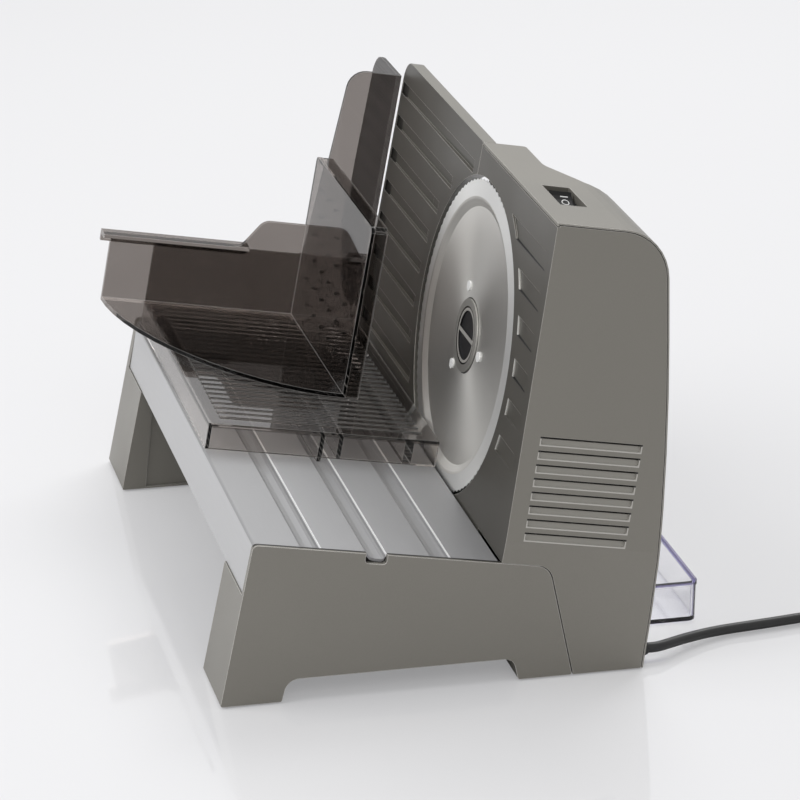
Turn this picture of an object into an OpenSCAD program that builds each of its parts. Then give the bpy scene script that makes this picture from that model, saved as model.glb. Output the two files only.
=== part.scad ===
// Electric food slicer with a tilted table, a serrated round blade, a sliding carriage and a pusher.
// The table slopes down to the blade. Along the slope: u across the table, y along it, w square to it.

/* [Table] */
// Overall length between the outer faces of the end supports
body_len = 345.6; // [320:0.1:380]
// Slope of the table
tilt = 9.5; // [7:0.1:12]
// Height of the table's blade-side edge above the floor
table_h = 67; // [64:0.5:80]
// Width of the table across the slope
table_w = 130.5; // [120:0.5:150]
// Thickness of the table sheet
sheet_t = 1.5; // [1:0.1:2.5]
// Height of the skirt folded down at the table's free edge
skirt_h = 27.7; // [20:0.1:32]
// Width of a pressed groove
groove_w = 11; // [8:0.5:14]
// Depth of a pressed groove
groove_d = 3.2; // [2:0.1:4]
// Spacing of the grooves
groove_pitch = 34.4; // [28:0.2:38]
// Distance of the middle groove from the blade-side edge
groove_mid = 65.5; // [60:0.5:72]

/* [End supports] */
// Depth of a support along the table
support_depth = 46.8; // [40:0.2:52]
// Wall of the supports
support_wall = 3; // [2:0.1:4]
// Height of the arch above the floor
arch_h = 13; // [10:0.5:20]
// Width of the foot under the table's free edge
foot_w = 32; // [26:0.5:44]
// Width of the foot beside the blade
inner_foot_w = 29; // [24:0.5:34]
// How far the leg flares out from the table's edge to the floor
leg_flare = 2.4; // [0:0.1:6]
// Width of the lip on the leg's inner side at the floor
leg_lip = 14; // [8:0.5:16]
// Width of the far foot under the table's free edge
far_leg_w = 44; // [34:0.5:50]
// Height that the rubber feet stand proud
foot_gap = 0.8; // [0.4:0.1:2]

/* [Housing] */
// Height of the housing above the table
housing_h = 178.8; // [165:0.2:190]
// Length of the deep part that holds the motor
deep_len = 76; // [72:1:84]
// End of the housing, from the near end
housing_len = 159.2; // [150:0.2:162]
// Greatest reach of the housing behind the blade's plane
housing_reach = 89; // [84:0.5:96]
// Radius of the bulge of the housing's back
back_r = 1260; // [900:10:2000]
// Height at which the back reaches furthest
back_top = 165; // [140:1:180]
// Radius of the top edge at the back
crown_r = 27; // [18:0.5:32]
// Depth of the slim part behind the blade
slim_depth = 24; // [22:0.5:31]
// Wall of the housing shells
shell_t = 2.5; // [2:0.1:3]
// Setback of the near end face at the top
lean = 16; // [8:0.5:20]
// Height above the table where the near end face starts to lean
lean_start = 12.4; // [8:0.2:16]
// Number of vent slots
vent_n = 8; // [4:1:9]
// Spacing of the vent slots
vent_pitch = 7.25; // [6:0.05:7.5]
// Height of a vent slot
vent_slot = 4; // [2:0.1:4.5]
// Length of a vent slot
vent_len = 54; // [40:1:58]
// Height of the shallow recesses on the blade side
band_h = 9.2; // [6:0.2:10]
// Spacing of the shallow recesses
band_pitch = 21.1; // [18:0.1:24]
// Depth of the shallow recesses
band_d = 1.2; // [0.6:0.1:1.6]

/* [Blade] */
// Diameter of the blade
blade_d = 170; // [166:1:172]
// Distance of the blade's centre from the near end
blade_y = 134; // [130:0.5:138]
// Height of the blade's centre above the table
blade_h = 77.5; // [75:0.5:80]
// Thickness of the blade sheet
blade_t = 1.2; // [1:0.1:1.6]
// Number of teeth
tooth_n = 96; // [60:2:120]
// Depth of the teeth
tooth_d = 1.1; // [0.6:0.1:1.6]
// Width of the bright rim band
rim_band = 11; // [8:0.5:14]
// Depth of the dished middle
dish = 2.4; // [1.5:0.1:2.6]
// Diameter of the hub ring
hub_d = 40; // [36:1:44]
// Diameter of the hub lock
lock_d = 30; // [26:1:32]
// Diameter of the rivets' pitch circle
rivet_pcd = 54; // [50:1:60]

/* [Drive] */
// Diameter of the blade spindle
spindle_d = 12; // [10:0.5:14]
// Teeth of the worm wheel
wheel_teeth = 48; // [44:1:50]
// Module of the worm drive
drive_module = 1.5; // [1.4:0.02:1.52]
// Pitch radius of the worm
worm_r = 6; // [5.5:0.1:6.5]
// Depth of the worm drive behind the blade's plane
drive_u = 33; // [32:0.5:34]
// Width of the worm wheel
wheel_t = 7; // [6:0.5:8]
// Radius of the motor can
motor_r = 20.5; // [19:0.5:21]
// Length of the motor can
motor_len = 54; // [46:1:56]
// Diameter of the armature shaft
armature_d = 7; // [6:0.5:8]

/* [Stop plate] */
// Greatest slice thickness
slice_max = 20; // [15:0.5:21]
// Distance of the stop plate's far end from the far end of the slicer
stop_inset = 12.6; // [9.6:0.1:24]
// Thickness of the stop plate
stop_t = 7.4; // [5:0.2:9]
// Gap between the stop plate and the blade's teeth
blade_gap = 2; // [1.2:0.1:3]
// Pitch radius of the adjusting pinion
pinion_r = 5; // [4.5:0.1:5.5]
// Teeth of the adjusting pinion
pinion_teeth = 10; // [10:1:12]
// Diameter of the thickness knob
knob_d = 40; // [34:1:44]
// Height of the thickness knob
knob_h = 17; // [14:0.5:24]
// Diameter of the guide rods
rod_d = 6; // [5:0.5:7]

/* [Switch] */
// Width of the switch recess across the top
recess_w = 15; // [14:0.5:17]
// Length of the switch recess
recess_len = 34; // [30:0.5:38]
// Depth of the switch recess
recess_d = 4; // [3:0.2:5]
// Distance of the switch from the near end
switch_y = 68; // [60:1:76]
// Swing of the rocker to each side
rocker_swing = 8; // [5:0.5:10]

/* [Carriage] */
// Near end of the carriage in the shown place, from the near end of the slicer
carriage_y = 134; // [130:1:150]
// Length of the carriage's base
carriage_len = 199.5; // [190:0.5:205]
// Height of the carriage's base above the table
carriage_h = 15.5; // [14:0.5:18]
// Wall of the carriage and of the pusher
clear_t = 2.5; // [2:0.1:3]
// Height of the carriage's tall back wall above the table
back_h = 168; // [150:1:176]
// Width of the carriage's tall back wall
back_w = 34.5; // [30:0.5:38]
// Height of the low back wall that carries the pusher
rail_h = 54; // [48:0.5:58]
// Length of the thumb guard behind the back wall
guard_len = 56; // [45:1:64]
// Spacing of the ribs
rib_pitch = 7.4; // [6:0.1:7.5]

/* [Pusher] */
// Distance of the pusher's face from the blade's plane in the shown place
pusher_u = 44; // [42:0.5:60]
// Length of the pusher's face along the table
pusher_len = 138; // [120:1:142]
// Height of the pusher's face above the table
pusher_h = 116; // [100:1:125]
// Depth of the rim round the pusher's face
pusher_rim = 9.5; // [7:0.5:12]
// Reach of the pusher's shelf from its face
shelf_len = 114; // [105:1:120]

/* [Tray] */
// Width of the slice tray
tray_w = 108; // [95:1:112]
// Length of the slice tray
tray_len = 236; // [200:1:240]
// Height of the slice tray
tray_h = 22.5; // [18:0.5:24]
// Wall of the slice tray
tray_t = 2; // [1.5:0.1:2.5]
// Distance of the tray's near wall from the near end
tray_y = 52.5; // [51:0.5:58]

/* [Cord] */
// Diameter of the mains cord
cord_d = 5.6; // [5:0.1:6]
// Turns in each of the two layers of the coil
coil_turns = 3; // [2:1:3]
// Radius of the coil's outer turn
coil_r = 42; // [40:0.5:44]

/* [Hidden] */
$fn = 64;

// Small clearances
seam = 0.2;
run_gap = 0.3;
shaft_gap = 0.05;
over = 1;

// Places along the slope
table_right = -1;
table_left = table_right - table_w;
blade_r = blade_d/2;
groove_u = table_right - groove_mid;

// The part's origin: middle of the bounding box on the floor
carriage_end = carriage_y + carriage_len + guard_len;
pusher_left = -pusher_u - shelf_len;
hook_over = 4;
rib_h = 0.8;
shelf_w = carriage_h + rib_h + run_gap;
tray_right = 126;
x_mid = (slope_x(pusher_left, shelf_w) + tray_right)/2;
y_mid = carriage_end/2;

// Where a place on the slope lies in the level frame
function slope_x(u, w) = u*cos(tilt) + w*sin(tilt);
function slope_z(u, w) = table_h - u*sin(tilt) + w*cos(tilt);
function slope_xz(u, w) = [slope_x(u, w), slope_z(u, w)];

// Outline with rounded corners: each corner is x, y and its radius
function unit(v) = v/norm(v);
function turn(a) = a > 180 ? a - 360 : a < -180 ? a + 360 : a;
function corner(p, q, s, r, n) = let(a = unit(p - q), b = unit(s - q), half = acos(a*b)/2,
    c = q + unit(a + b)*r/sin(half), from = q + a*r/tan(half) - c, to = q + b*r/tan(half) - c,
    a0 = atan2(from.y, from.x), sweep = turn(atan2(to.y, to.x) - a0))
    [for (i = [0:n]) c + r*[cos(a0 + sweep*i/n), sin(a0 + sweep*i/n)]];
function flat(p) = [p.x, p.y];
function rounded(pts, n = 6) = let(m = len(pts)) [for (i = [0:m - 1]) each pts[i].z > 0
    ? corner(flat(pts[(i + m - 1) % m]), flat(pts[i]), flat(pts[(i + 1) % m]), pts[i].z, n)
    : [flat(pts[i])]];
function arc(c, r, a0, a1, n) = [for (i = [0:n]) c + r*[cos(a0 + (a1 - a0)*i/n), sin(a0 + (a1 - a0)*i/n)]];
function box_outline(x0, y0, x1, y1, r) = [[x0, y0, r], [x1, y0, r], [x1, y1, r], [x0, y1, r]];

// Level frame, near end at y = 0
module level() {
    translate([-x_mid, -y_mid, 0])
        children();
}

// Frame on the table's slope
module sloped() {
    translate([-x_mid, -y_mid, table_h])
        rotate([0, tilt, 0])
            children();
}

// Extrude an x-z outline along y
module along_y(y0, y1) {
    translate([0, y1, 0])
        rotate([90, 0, 0])
            linear_extrude(y1 - y0)
                children();
}

// Extrude a y-z outline along x
module along_x(x0, x1) {
    translate([x0, 0, 0])
        rotate([90, 0, 90])
            linear_extrude(x1 - x0)
                children();
}

// Round bar along y
module bar_y(d, y0, y1) {
    translate([0, y1, 0])
        rotate([90, 0, 0])
            cylinder(d = d, h = y1 - y0);
}

// Round bar along x
module bar_x(d, x0, x1) {
    translate([x0, 0, 0])
        rotate([0, 90, 0])
            cylinder(d = d, h = x1 - x0);
}

// Block between two corners
module block(a, b) {
    translate(a)
        cube(b - a);
}

// Blade axis: across the slope through the blade's centre
module at_blade() {
    sloped()
        translate([0, blade_y, blade_h])
            children();
}

// END SUPPORTS
foot_r = 1;
arch_r = 8;
arch_inner_r = 6;
shoulder_r = 10;
table_corner_r = 3;
leg_u = table_left - leg_flare;
leg_left = slope_x(leg_u, (leg_u*sin(tilt) - table_h)/cos(tilt));
inner_foot_x = 10.6;
arch_slope = 3;
near_right_u = 26;
far_right_u = 58;
far_foot_w = 50;
support_top = 0.4;
lip_top = 7;
panel_d = 1.2;
corner_post = 6;
far_depth = support_depth + 1.4;

function support_outline(left_w, right_u, right_w) = rounded([[leg_left, foot_gap, foot_r],
    [leg_left + left_w, foot_gap, foot_r], [leg_left + left_w + arch_slope, arch_h, arch_r],
    [inner_foot_x - arch_slope, arch_h, arch_inner_r], [inner_foot_x, foot_gap, foot_r],
    [inner_foot_x + right_w, foot_gap, foot_r],
    concat(slope_xz(right_u, support_top), shoulder_r),
    concat(slope_xz(table_left, support_top), table_corner_r)]);
function support_pocket(left_w, right_u, right_w) = let(t = support_wall, p = slope_xz(right_u - t, -t),
    q = slope_xz(table_left + t, support_top + t)) [[leg_left + t, foot_gap + t],
    [leg_left + left_w - t, foot_gap + t], [leg_left + left_w + arch_slope - t, arch_h + t],
    [inner_foot_x - arch_slope + t, arch_h + t], [inner_foot_x + t, foot_gap + t],
    [inner_foot_x + right_w - t, foot_gap + t], p, slope_xz(table_right, -t), slope_xz(table_right, t), q];

// Leg under the table's free edge, seen from the other end: right of the lip, or the whole of it
function leg_face(left, left_top, left_w, low) = [[leg_left + left, low], [leg_left + left_w, low],
    slope_xz(table_left + left_w, -skirt_h - seam), slope_xz(table_left + left_top, -skirt_h - seam)];

// End wall with a notch for the middle groove, a closed leg at the free edge and an arch beside it
module support_shell(left_w, right_u, right_w, top_u, depth) {
    difference() {
        union() {
            along_y(0, support_wall)
                polygon(support_outline(left_w, right_u, right_w));
            difference() {
                along_y(0, depth)
                    polygon(support_outline(left_w, right_u, right_w));
                along_y(-over, depth + over)
                    polygon(support_pocket(left_w, right_u, right_w));
                under_table()
                    block([table_left - leg_flare - over, support_wall + seam, -skirt_h - seam],
                        [top_u, depth + over, support_top + over]);
            }
            intersection() {
                along_y(depth - 2*support_wall, depth)
                    polygon(support_outline(left_w, right_u, right_w));
                along_y(0, depth)
                    polygon(leg_face(0, -leg_flare, left_w, 0));
            }
        }
        along_y(depth - panel_d, depth + over)
            polygon(leg_face(leg_lip, lip_top, left_w - over, foot_gap + over));
        under_table()
            translate([groove_u - groove_w/2 - seam, -over, 0])
                along_y(0, support_wall + 2*over)
                    polygon(rounded([[0, over + support_top, 0], [0, -groove_d - sheet_t - seam, 2],
                        [groove_w + 2*seam, -groove_d - sheet_t - seam, 2],
                        [groove_w + 2*seam, over + support_top, 0]], 4));
    }
}

// Slope frame without the shift to the part's origin
module under_table() {
    translate([0, 0, table_h])
        rotate([0, tilt, 0])
            children();
}

module near_support() {
    color("#6e6a62")
        level()
            support_shell(foot_w, near_right_u, inner_foot_w, near_right_u + over, support_depth);
}

// Places of the adjuster in the far support
adjuster_u = 20;
rod_w = -20;
rod_inset = 37.6;
rod_pitch = 24;
rod_y1 = body_len - rod_inset;
rod_y2 = rod_y1 + rod_pitch;
carrier_h = 12;
rack_depth = 2.25*pinion_r*2/pinion_teeth;
pinion_w = rod_w - carrier_h/2 - rack_depth - pinion_r + pinion_r*2/pinion_teeth;
shaft_d = 6;
neck_inset = 41.6;
neck_w = 18;
neck_y0 = body_len - neck_inset;
neck_y1 = neck_y0 + neck_w;
slot_gap = 1;
tray_room = 2;
tray_end = tray_y + tray_len;

module far_support() {
    color("#6e6a62")
        level()
            difference() {
                translate([0, body_len, 0])
                    mirror([0, 1, 0])
                        union() {
                            support_shell(far_leg_w, far_right_u, far_foot_w, table_right + seam,
                                far_depth);
                            intersection() {
                                along_y(0, corner_post)
                                    polygon(support_outline(far_leg_w, far_right_u, far_foot_w));
                                under_table()
                                    block([-2*table_w, 0, -skirt_h - over],
                                        [table_left + corner_post, corner_post, support_top]);
                            }
                        }
                under_table()
                    block([-slot_gap + 0.2, neck_y0 - slot_gap, -support_wall*2],
                        [stop_t + bracket_t + slice_max + slot_gap, neck_y1 + slot_gap, 2*over]);
                under_table()
                    translate([adjuster_u, 0, pinion_w])
                        bar_y(shaft_d + 2*shaft_gap, body_len - support_wall - over, body_len + over);
                block([tray_right - tray_w - tray_room, tray_y, -over],
                    [2*tray_right, tray_end + tray_room, tray_h + tray_room]);
            }
}

// TABLE
bend_r = 2;

// Cross-section of the sheet: flat top with three pressed grooves, one side folded down
function groove_top(u) = [[u - groove_w/2, 0], [u - groove_w/4, -groove_d*0.8], [u, -groove_d],
    [u + groove_w/3, -groove_d], [u + groove_w/2 - 0.6, -groove_d*0.75], [u + groove_w/2, 0]];
function groove_list() = [for (k = [-1:1]) groove_u + k*groove_pitch];
function table_section() = concat(
    [[table_left + sheet_t, -skirt_h], [table_left, -skirt_h]],
    arc([table_left + bend_r, -bend_r], bend_r, 180, 90, 5),
    [for (u = groove_list()) each groove_top(u)],
    [[table_right, 0], [table_right, -sheet_t]],
    [for (k = [2:-1:0]) each [for (i = [5:-1:0]) groove_top(groove_list()[k])[i] - [0, sheet_t]]],
    arc([table_left + bend_r, -bend_r], bend_r - sheet_t, 90, 180, 5));

module table_sheet() {
    color("#c9cacb")
        sloped()
            difference() {
                along_y(support_wall + seam, body_len - support_wall - seam)
                    polygon(table_section());
                block([table_left - over, body_len - corner_post - seam, -skirt_h - over],
                    [table_left + corner_post + seam, body_len, over]);
            }
}

// CHASSIS
chassis_t = 2.5;
chassis_drop = 22;
chassis_left = table_left + 8;
chassis_right = table_right - 6;
chassis_end = support_wall + 0.05;

// Channel under the table that ties the end supports together
module chassis() {
    deck = -groove_d - sheet_t - run_gap;
    color("#55524d")
        sloped()
            difference() {
                union() {
                    block([chassis_left, chassis_end, deck - chassis_t],
                        [chassis_right, body_len - chassis_end, deck]);
                    for (u = [chassis_left, chassis_right - chassis_t])
                        block([u, chassis_end, deck - chassis_drop],
                            [u + chassis_t, body_len - chassis_end, -sheet_t - 0.05]);
                }
                for (y = [support_wall, body_len - far_depth])
                    translate([0, y, deck])
                        block([chassis_right - 3*chassis_t, -over, -chassis_drop - over],
                            [chassis_right + over, far_depth, -3*chassis_t]);
                block([chassis_right - chassis_t - over, rod_y1 - 8, -table_h],
                    [chassis_right + over, body_len, over]);
            }
}

// SCREWS
screw_d = 4;
screw_head = 8;
screw_head_t = 2.6;
screw_len = 12;

// Screw heads on the underside of the chassis
module chassis_screws() {
    w = -groove_d - sheet_t - run_gap - chassis_t - screw_head_t;
    color("#b9bbbd")
        sloped()
            for (f = [0.2, 0.6])
                for (y = [body_len/6, body_len*5/6])
                    translate([chassis_left + f*(chassis_right - chassis_left), y, w])
                        cylinder(d = screw_head, h = screw_head_t);
}

// FEET
pad_d = 14;
pad_y = 24;
outer_pad_x = leg_left + foot_w/2;
inner_pad_x = inner_foot_x + inner_foot_w/2;
far_pad_y = body_len - pad_y;

module rubber_feet() {
    color("#1d1d1d")
        level()
            for (p = [[outer_pad_x, pad_y], [outer_pad_x, far_pad_y], [inner_pad_x, pad_y],
                [inner_pad_x, max(far_pad_y, tray_end + tray_room + pad_d/2)]])
                translate(p)
                    cylinder(d = pad_d, h = foot_gap);
}

// HOUSING
face_t = 3;
rim_t = 1;
tray_roof = tray_h + 5;
leg_depth = 50;
pocket_gap = 1.6;
pocket_d = 6.2;
pocket_wall = 2.5;
boss_r = 13;
bush_od = 18;
bush_len = 14;
top_seam = 1.6;
seam_line = 0.55;
end_gap = 0.25;
wheel_r = wheel_teeth*drive_module/2;
gear_bulge_r = wheel_r + 7;
worm_h = blade_h - wheel_r - worm_r;
worm_tube_r = worm_r + 6;
gear_back = drive_u + 13;
plan_wide = 2*housing_reach;

// Back of the housing at a height
function back_x(z) = housing_reach - (z - back_top)*(z - back_top)/(2*back_r);
back_z = 180;

// Profile of the housing, drawn in by an inset
function housing_profile(i) = let(top = housing_h - i, x = back_x(back_z + crown_r) - i,
    tip = slope_xz((x - top*sin(tilt))/cos(tilt), top))
    concat([slope_xz(i, top), slope_xz(i, -table_h/cos(tilt) - over)],
    [for (z = [-over:30:back_z]) [back_x(z) - i, z]],
    corner([back_x(back_z) - i, back_z], tip, slope_xz(i, top), crown_r - i, 8));

// Plan of the housing: deep beside the motor, slim behind the blade
function housing_plan(i) = rounded([[-table_w, -over, 0], [plan_wide, -over, 0],
    [plan_wide, deep_len - i, 0], [deep_u - i, deep_len - i, 14], [step_u - i, step_y - i, 16],
    [slim_depth - i, slim_y - i, 14], [slim_depth - i, housing_len - i, 2],
    [-table_w, housing_len - i, 0]]);
deep_u = 84;
step_u = 40;
step_y = deep_len + 21;
slim_y = blade_y - 9;

// Solid of the housing drawn in by an inset, with its own inset at the near end
module housing_solid(i, near) {
    difference() {
        union() {
            intersection() {
                level()
                    along_y(-over, housing_len)
                        polygon(housing_profile(i));
                sloped()
                    translate([0, 0, -3*table_h])
                        linear_extrude(6*housing_h)
                            polygon(housing_plan(i));
            }
            at_blade()
                bar_x(2*(gear_bulge_r - i), pocket_d + i, gear_back - i);
            sloped()
                translate([drive_u, 0, worm_h])
                    bar_y(2*(worm_tube_r - i), deep_len - 20, housing_len - i);
        }
        level()
            block([-table_w, leg_depth - i, -2*over], [plan_wide, 2*housing_len, tray_roof + i]);
        level()
            block([-table_w, -2*over, -2*over], [plan_wide, leg_depth, foot_gap]);
        level()
            block([-table_w, -2*over, -2*over], [inner_foot_x + i, leg_depth, tray_roof + i]);
        lean_room(near);
    }
}

// Space in front of the near end face, which leans back above the table
module lean_room(near) {
    top = 2*housing_h;
    sloped()
        along_x(-table_w, plan_wide)
            polygon([[-2*over, -2*table_h], [near, -2*table_h], [near, lean_start],
                [near + lean*(top - lean_start)/(housing_h - lean_start), top], [-2*over, top]]);
}

// Seat of the near end support in the housing, with an open seam round it
seat_gap = 0.5;

module support_room() {
    level()
        along_y(-2*over, support_depth + seam)
            polygon(rounded([[leg_left - over, -over, 0],
                [inner_foot_x + inner_foot_w + 2*seat_gap, -over, 0],
                concat(slope_xz(near_right_u + seat_gap, support_top + seam), shoulder_r),
                concat(slope_xz(table_left - over, support_top + seam), 0)]));
}

// Wedge recesses beside the blade, deepest next to it
module face_bands() {
    left_r = blade_r + 9.3;
    fade = 9;
    top_band = 73.9;
    for (k = [0:5]) {
        w0 = blade_h + top_band - k*band_pitch;
        far_w = max(abs(w0 - blade_h), abs(w0 + band_h - blade_h));
        y1 = blade_y - sqrt(max(0, left_r*left_r - far_w*far_w));
        fade_y = fade + lean*(w0 - lean_start)/(housing_h - lean_start);
        difference() {
            sloped()
                translate([0, y1, w0])
                    rotate([0, 0, -atan(band_d/(y1 - fade_y))])
                        block([-3*over, fade_y - y1 - lean, 0], [band_d, 0, band_h]);
            at_blade()
                bar_x(2*left_r, -4*over, 4*over);
        }
    }
}

// Louvres in the near end face: floors that slope in, each open through the wall along its top
module vents() {
    vent_u = 10;
    vent_w = 14;
    lip = 0.8;
    open_w = 0.72*vent_slot;
    for (k = [0:vent_n - 1]) {
        w0 = vent_w + k*vent_pitch;
        y0 = lean*(w0 - lean_start)/(housing_h - lean_start);
        sloped()
            translate([vent_u, y0, w0])
                intersection() {
                    along_y(-2*over, 2*shell_t)
                        polygon(rounded(box_outline(0, 0, vent_len, vent_slot, vent_slot/3), 3));
                    along_x(-over, vent_len + over)
                        polygon([[-2*over, 0], [lip, 0], [shell_t - lip, open_w], [2*shell_t, open_w],
                            [2*shell_t, vent_slot], [-2*over, vent_slot]]);
                }
    }
}

// Blade-side face with the blade's cup, and the near end face with the vents, in one moulding
module housing_front() {
    color("#5f5c55")
        difference() {
            union() {
                intersection() {
                    difference() {
                        housing_solid(0, 0);
                        housing_solid(face_t, 0);
                    }
                    sloped()
                        block([-over, -over, -2*table_h],
                            [face_t, 2*housing_len, housing_h - top_seam - seam_line]);
                }
                difference() {
                    housing_solid(rim_t + end_gap, 0);
                    housing_solid(0, shell_t);
                }
                intersection() {
                    housing_solid(shell_t + seam, 0);
                    at_blade()
                        bar_x(2*(blade_r + pocket_gap + pocket_wall), 0, pocket_d + pocket_wall);
                }
                at_blade()
                    bar_x(2*boss_r, pocket_d, pocket_d + bush_len);
                at_blade()
                    bar_x(2*gear_bulge_r, pocket_d, pocket_d + pocket_wall);
            }
            support_room();
            at_blade()
                bar_x(2*(blade_r + pocket_gap), -over, pocket_d);
            at_blade()
                bar_x(bush_od, pocket_d - over, pocket_d + bush_len + over);
            face_bands();
            vents();
        }
}

// Top and back of the housing in one shell
module housing_rear() {
    color("#77736a")
        difference() {
            union() {
                difference() {
                    housing_solid(0, 0);
                    housing_solid(shell_t, shell_t);
                }
                switch_place()
                    block([-recess_w/2 - well_t, -recess_len/2 - well_t, -recess_d - well_t],
                        [recess_w/2 + well_t, recess_len/2 + well_t, -over]);
            }
            sloped()
                block([-over, -over, -2*table_h],
                    [face_t + seam, 2*housing_len, housing_h - top_seam]);
            difference() {
                housing_solid(rim_t - seam, 0);
                housing_solid(0, shell_t + seam);
            }
            support_room();
            at_blade()
                bar_x(2*(blade_r + pocket_gap + pocket_wall + seam), -over, pocket_d + pocket_wall + seam);
            switch_place()
                block([-recess_w/2, -recess_len/2, -3*recess_d], [recess_w/2, recess_len/2, recess_d]);
            rear_screw_places()
                bar_x(screw_d + 2*seam, -6*shell_t, 2*shell_t);
            gland_place()
                bar_x(gland_neck, -2*shell_t, shell_t);
        }
}

// Plate that closes the housing above the tray and under its leg, with a riser between them
module housing_bottom() {
    color("#4d4b46")
        difference() {
            intersection() {
                housing_solid(shell_t + seam, shell_t + seam);
                union() {
                    level()
                        block([-table_w, leg_depth - shell_t, 0],
                            [plan_wide, 2*housing_len, tray_roof + 2*shell_t]);
                    level()
                        block([-table_w, leg_depth - 2*shell_t, 0],
                            [plan_wide, leg_depth - shell_t, tray_roof + 2*shell_t]);
                    level()
                        block([-table_w, 0, 0], [plan_wide, leg_depth, foot_gap + shell_t/2]);
                }
            }
            sloped()
                block([-over, 0, -2*table_h], [face_t + seam, 2*housing_len, housing_h]);
            support_room();
        }
}

// Screws that hold the rear shell, in its back
screw_rows = [[34, 60], [34, 200], [54, 130]];

module rear_screw_places() {
    for (p = screw_rows)
        level()
            translate([back_x(p[1]), p[0], p[1]])
                children();
}

module housing_screws() {
    color("#b9bbbd")
        rear_screw_places() {
            bar_x(screw_head, 0.3, screw_head_t);
            bar_x(screw_d, -screw_len, 1);
        }
}

// SWITCH
switch_u = 19;
well_t = 1.5;
frame_h = 12;
pivot_w = -recess_d - 4;
rocker_w = 12;
rocker_len = 21;
rocker_r = 26;
rocker_drop = 0.6;
pin_d = 2.5;

// Middle of the switch on the housing's top
module switch_place() {
    sloped()
        translate([switch_u, switch_y, housing_h])
            children();
}

// Black frame snapped into the bottom of the top shell's well
module switch_frame() {
    pocket_floor = pivot_w - 5;
    color("#1b1b1b")
        switch_place()
            difference() {
                block([-recess_w/2 + seam, -recess_len/2 + seam, -recess_d - frame_h],
                    [recess_w/2 - seam, recess_len/2 - seam, -recess_d]);
                block([-rocker_w/2 - run_gap, -rocker_len/2 - run_gap, pocket_floor],
                    [rocker_w/2 + run_gap, rocker_len/2 + run_gap, 0]);
                translate([0, 0, pivot_w])
                    bar_x(pin_d + 2*shaft_gap, -recess_w/2, recess_w/2);
            }
}

// Rocker with a hollow top, on a pivot across the recess
module switch_rocker() {
    half = rocker_len/2 - 1.2;
    low = 3.4;
    color("#242424")
        switch_place()
            translate([0, 0, pivot_w]) {
                rotate([rocker_swing, 0, 0])
                    along_x(-rocker_w/2, rocker_w/2)
                        polygon(concat([[-half, low]],
                            [for (i = [0:8]) let(y = half*(i/4 - 1)) [y, low + y*y/rocker_r]],
                            [[half, low]], arc([0, 0], low - rocker_drop, 30, -210, 10)));
                bar_x(pin_d, -recess_w/2 + 2*seam, recess_w/2 - 2*seam);
            }
}

// BLADE
edge_u = 0.5;
hub_hole_r = hub_d/2 - 3;
rivet_d = 3.2;
rivet_head_d = 5.6;
rivet_head_t = 0.9;
disc_u = edge_u + dish;
disc_back = disc_u + blade_t;

// Dished disc with a bevelled rim
rim_slope = 4;
rim_round = 1.2;
ground = 0.75;
edge_back = 1;

function blade_section() = let(r = blade_r, b = blade_r - rim_band, t = blade_t) [
    [hub_hole_r, dish], [b - rim_slope, dish], [b, rim_round/4], [b + rim_round, 0], [r, ground],
    [r, edge_back], [b + rim_round, t], [b + rim_round/3, t + rim_round/4],
    [b - rim_slope + rim_round/2, dish + t], [hub_hole_r, dish + t]];

// Outline of the teeth
function tooth_outline() = [for (k = [0:tooth_n - 1]) for (s = [0, 0.5])
    let(a = 360*(k + s)/tooth_n, r = s == 0 ? blade_r + 0.01 : blade_r - tooth_d) r*[cos(a), sin(a)]];

module rivet_places() {
    for (a = [66, 186, 306])
        at_blade()
            rotate([a, 0, 0])
                translate([0, rivet_pcd/2, 0])
                    children();
}

module blade() {
    color("#d4d5d6")
        difference() {
            at_blade()
                translate([edge_u, 0, 0])
                    rotate([0, 90, 0])
                        intersection() {
                            rotate_extrude($fn = 120)
                                polygon(blade_section());
                            translate([0, 0, -over])
                                linear_extrude(dish + blade_t + 2*over)
                                    polygon(tooth_outline());
                        }
            rivet_places()
                bar_x(rivet_d, edge_u, disc_back + over);
        }
}

// Steel ring pressed into the blade round its lock
module blade_hub() {
    flange_t = 1;
    color("#a9aaa8")
        at_blade()
            difference() {
                union() {
                    bar_x(hub_d, disc_u - flange_t, disc_u - 0.02);
                    bar_x(2*hub_hole_r - 2*shaft_gap, disc_u - flange_t, disc_back);
                }
                bar_x(lock_d + 2*run_gap, disc_u - 2*flange_t, disc_back + over);
            }
}

// Three rivets that hold the blade to the drive flange
module blade_rivets() {
    color("#e2e2e0")
        rivet_places() {
            bar_x(rivet_head_d, disc_u - rivet_head_t, disc_u - 0.02);
            bar_x(rivet_d - 2*shaft_gap, disc_u - rivet_head_t/2, disc_back);
        }
}

// Quarter-turn lock with a finger bar between two hollows
lock_u = edge_u + 1.6;
stem_d = 6;
stem_len = 10;
flange_u = disc_back + 0.05;
flange_end = pocket_d - run_gap;

module hub_lock() {
    bar_w = 2.2;
    hollow = 1.1;
    lip = 1.6;
    color("#2a2623")
        at_blade()
            difference() {
                union() {
                    bar_x(lock_d, lock_u, flange_u - 0.1);
                    bar_x(stem_d, lock_u, flange_u + stem_len);
                }
                difference() {
                    bar_x(lock_d - 2*lip, lock_u - over, lock_u + hollow);
                    block([-over, -lock_d, -bar_w/2], [lock_u + over + hollow, lock_d, bar_w/2]);
                }
            }
}

// DRIVE
flange_r = rivet_pcd/2 + 4;
spindle_end = drive_u + wheel_t/2 + 2;

// Spindle with the flange that carries the blade
module drive_spindle() {
    color("#9a9c9e")
        at_blade()
            difference() {
                union() {
                    bar_x(2*flange_r, flange_u, flange_end);
                    bar_x(spindle_d, flange_u, spindle_end);
                }
                bar_x(stem_d + 2*shaft_gap, flange_u - over, flange_u + stem_len + run_gap);
            }
}

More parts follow.
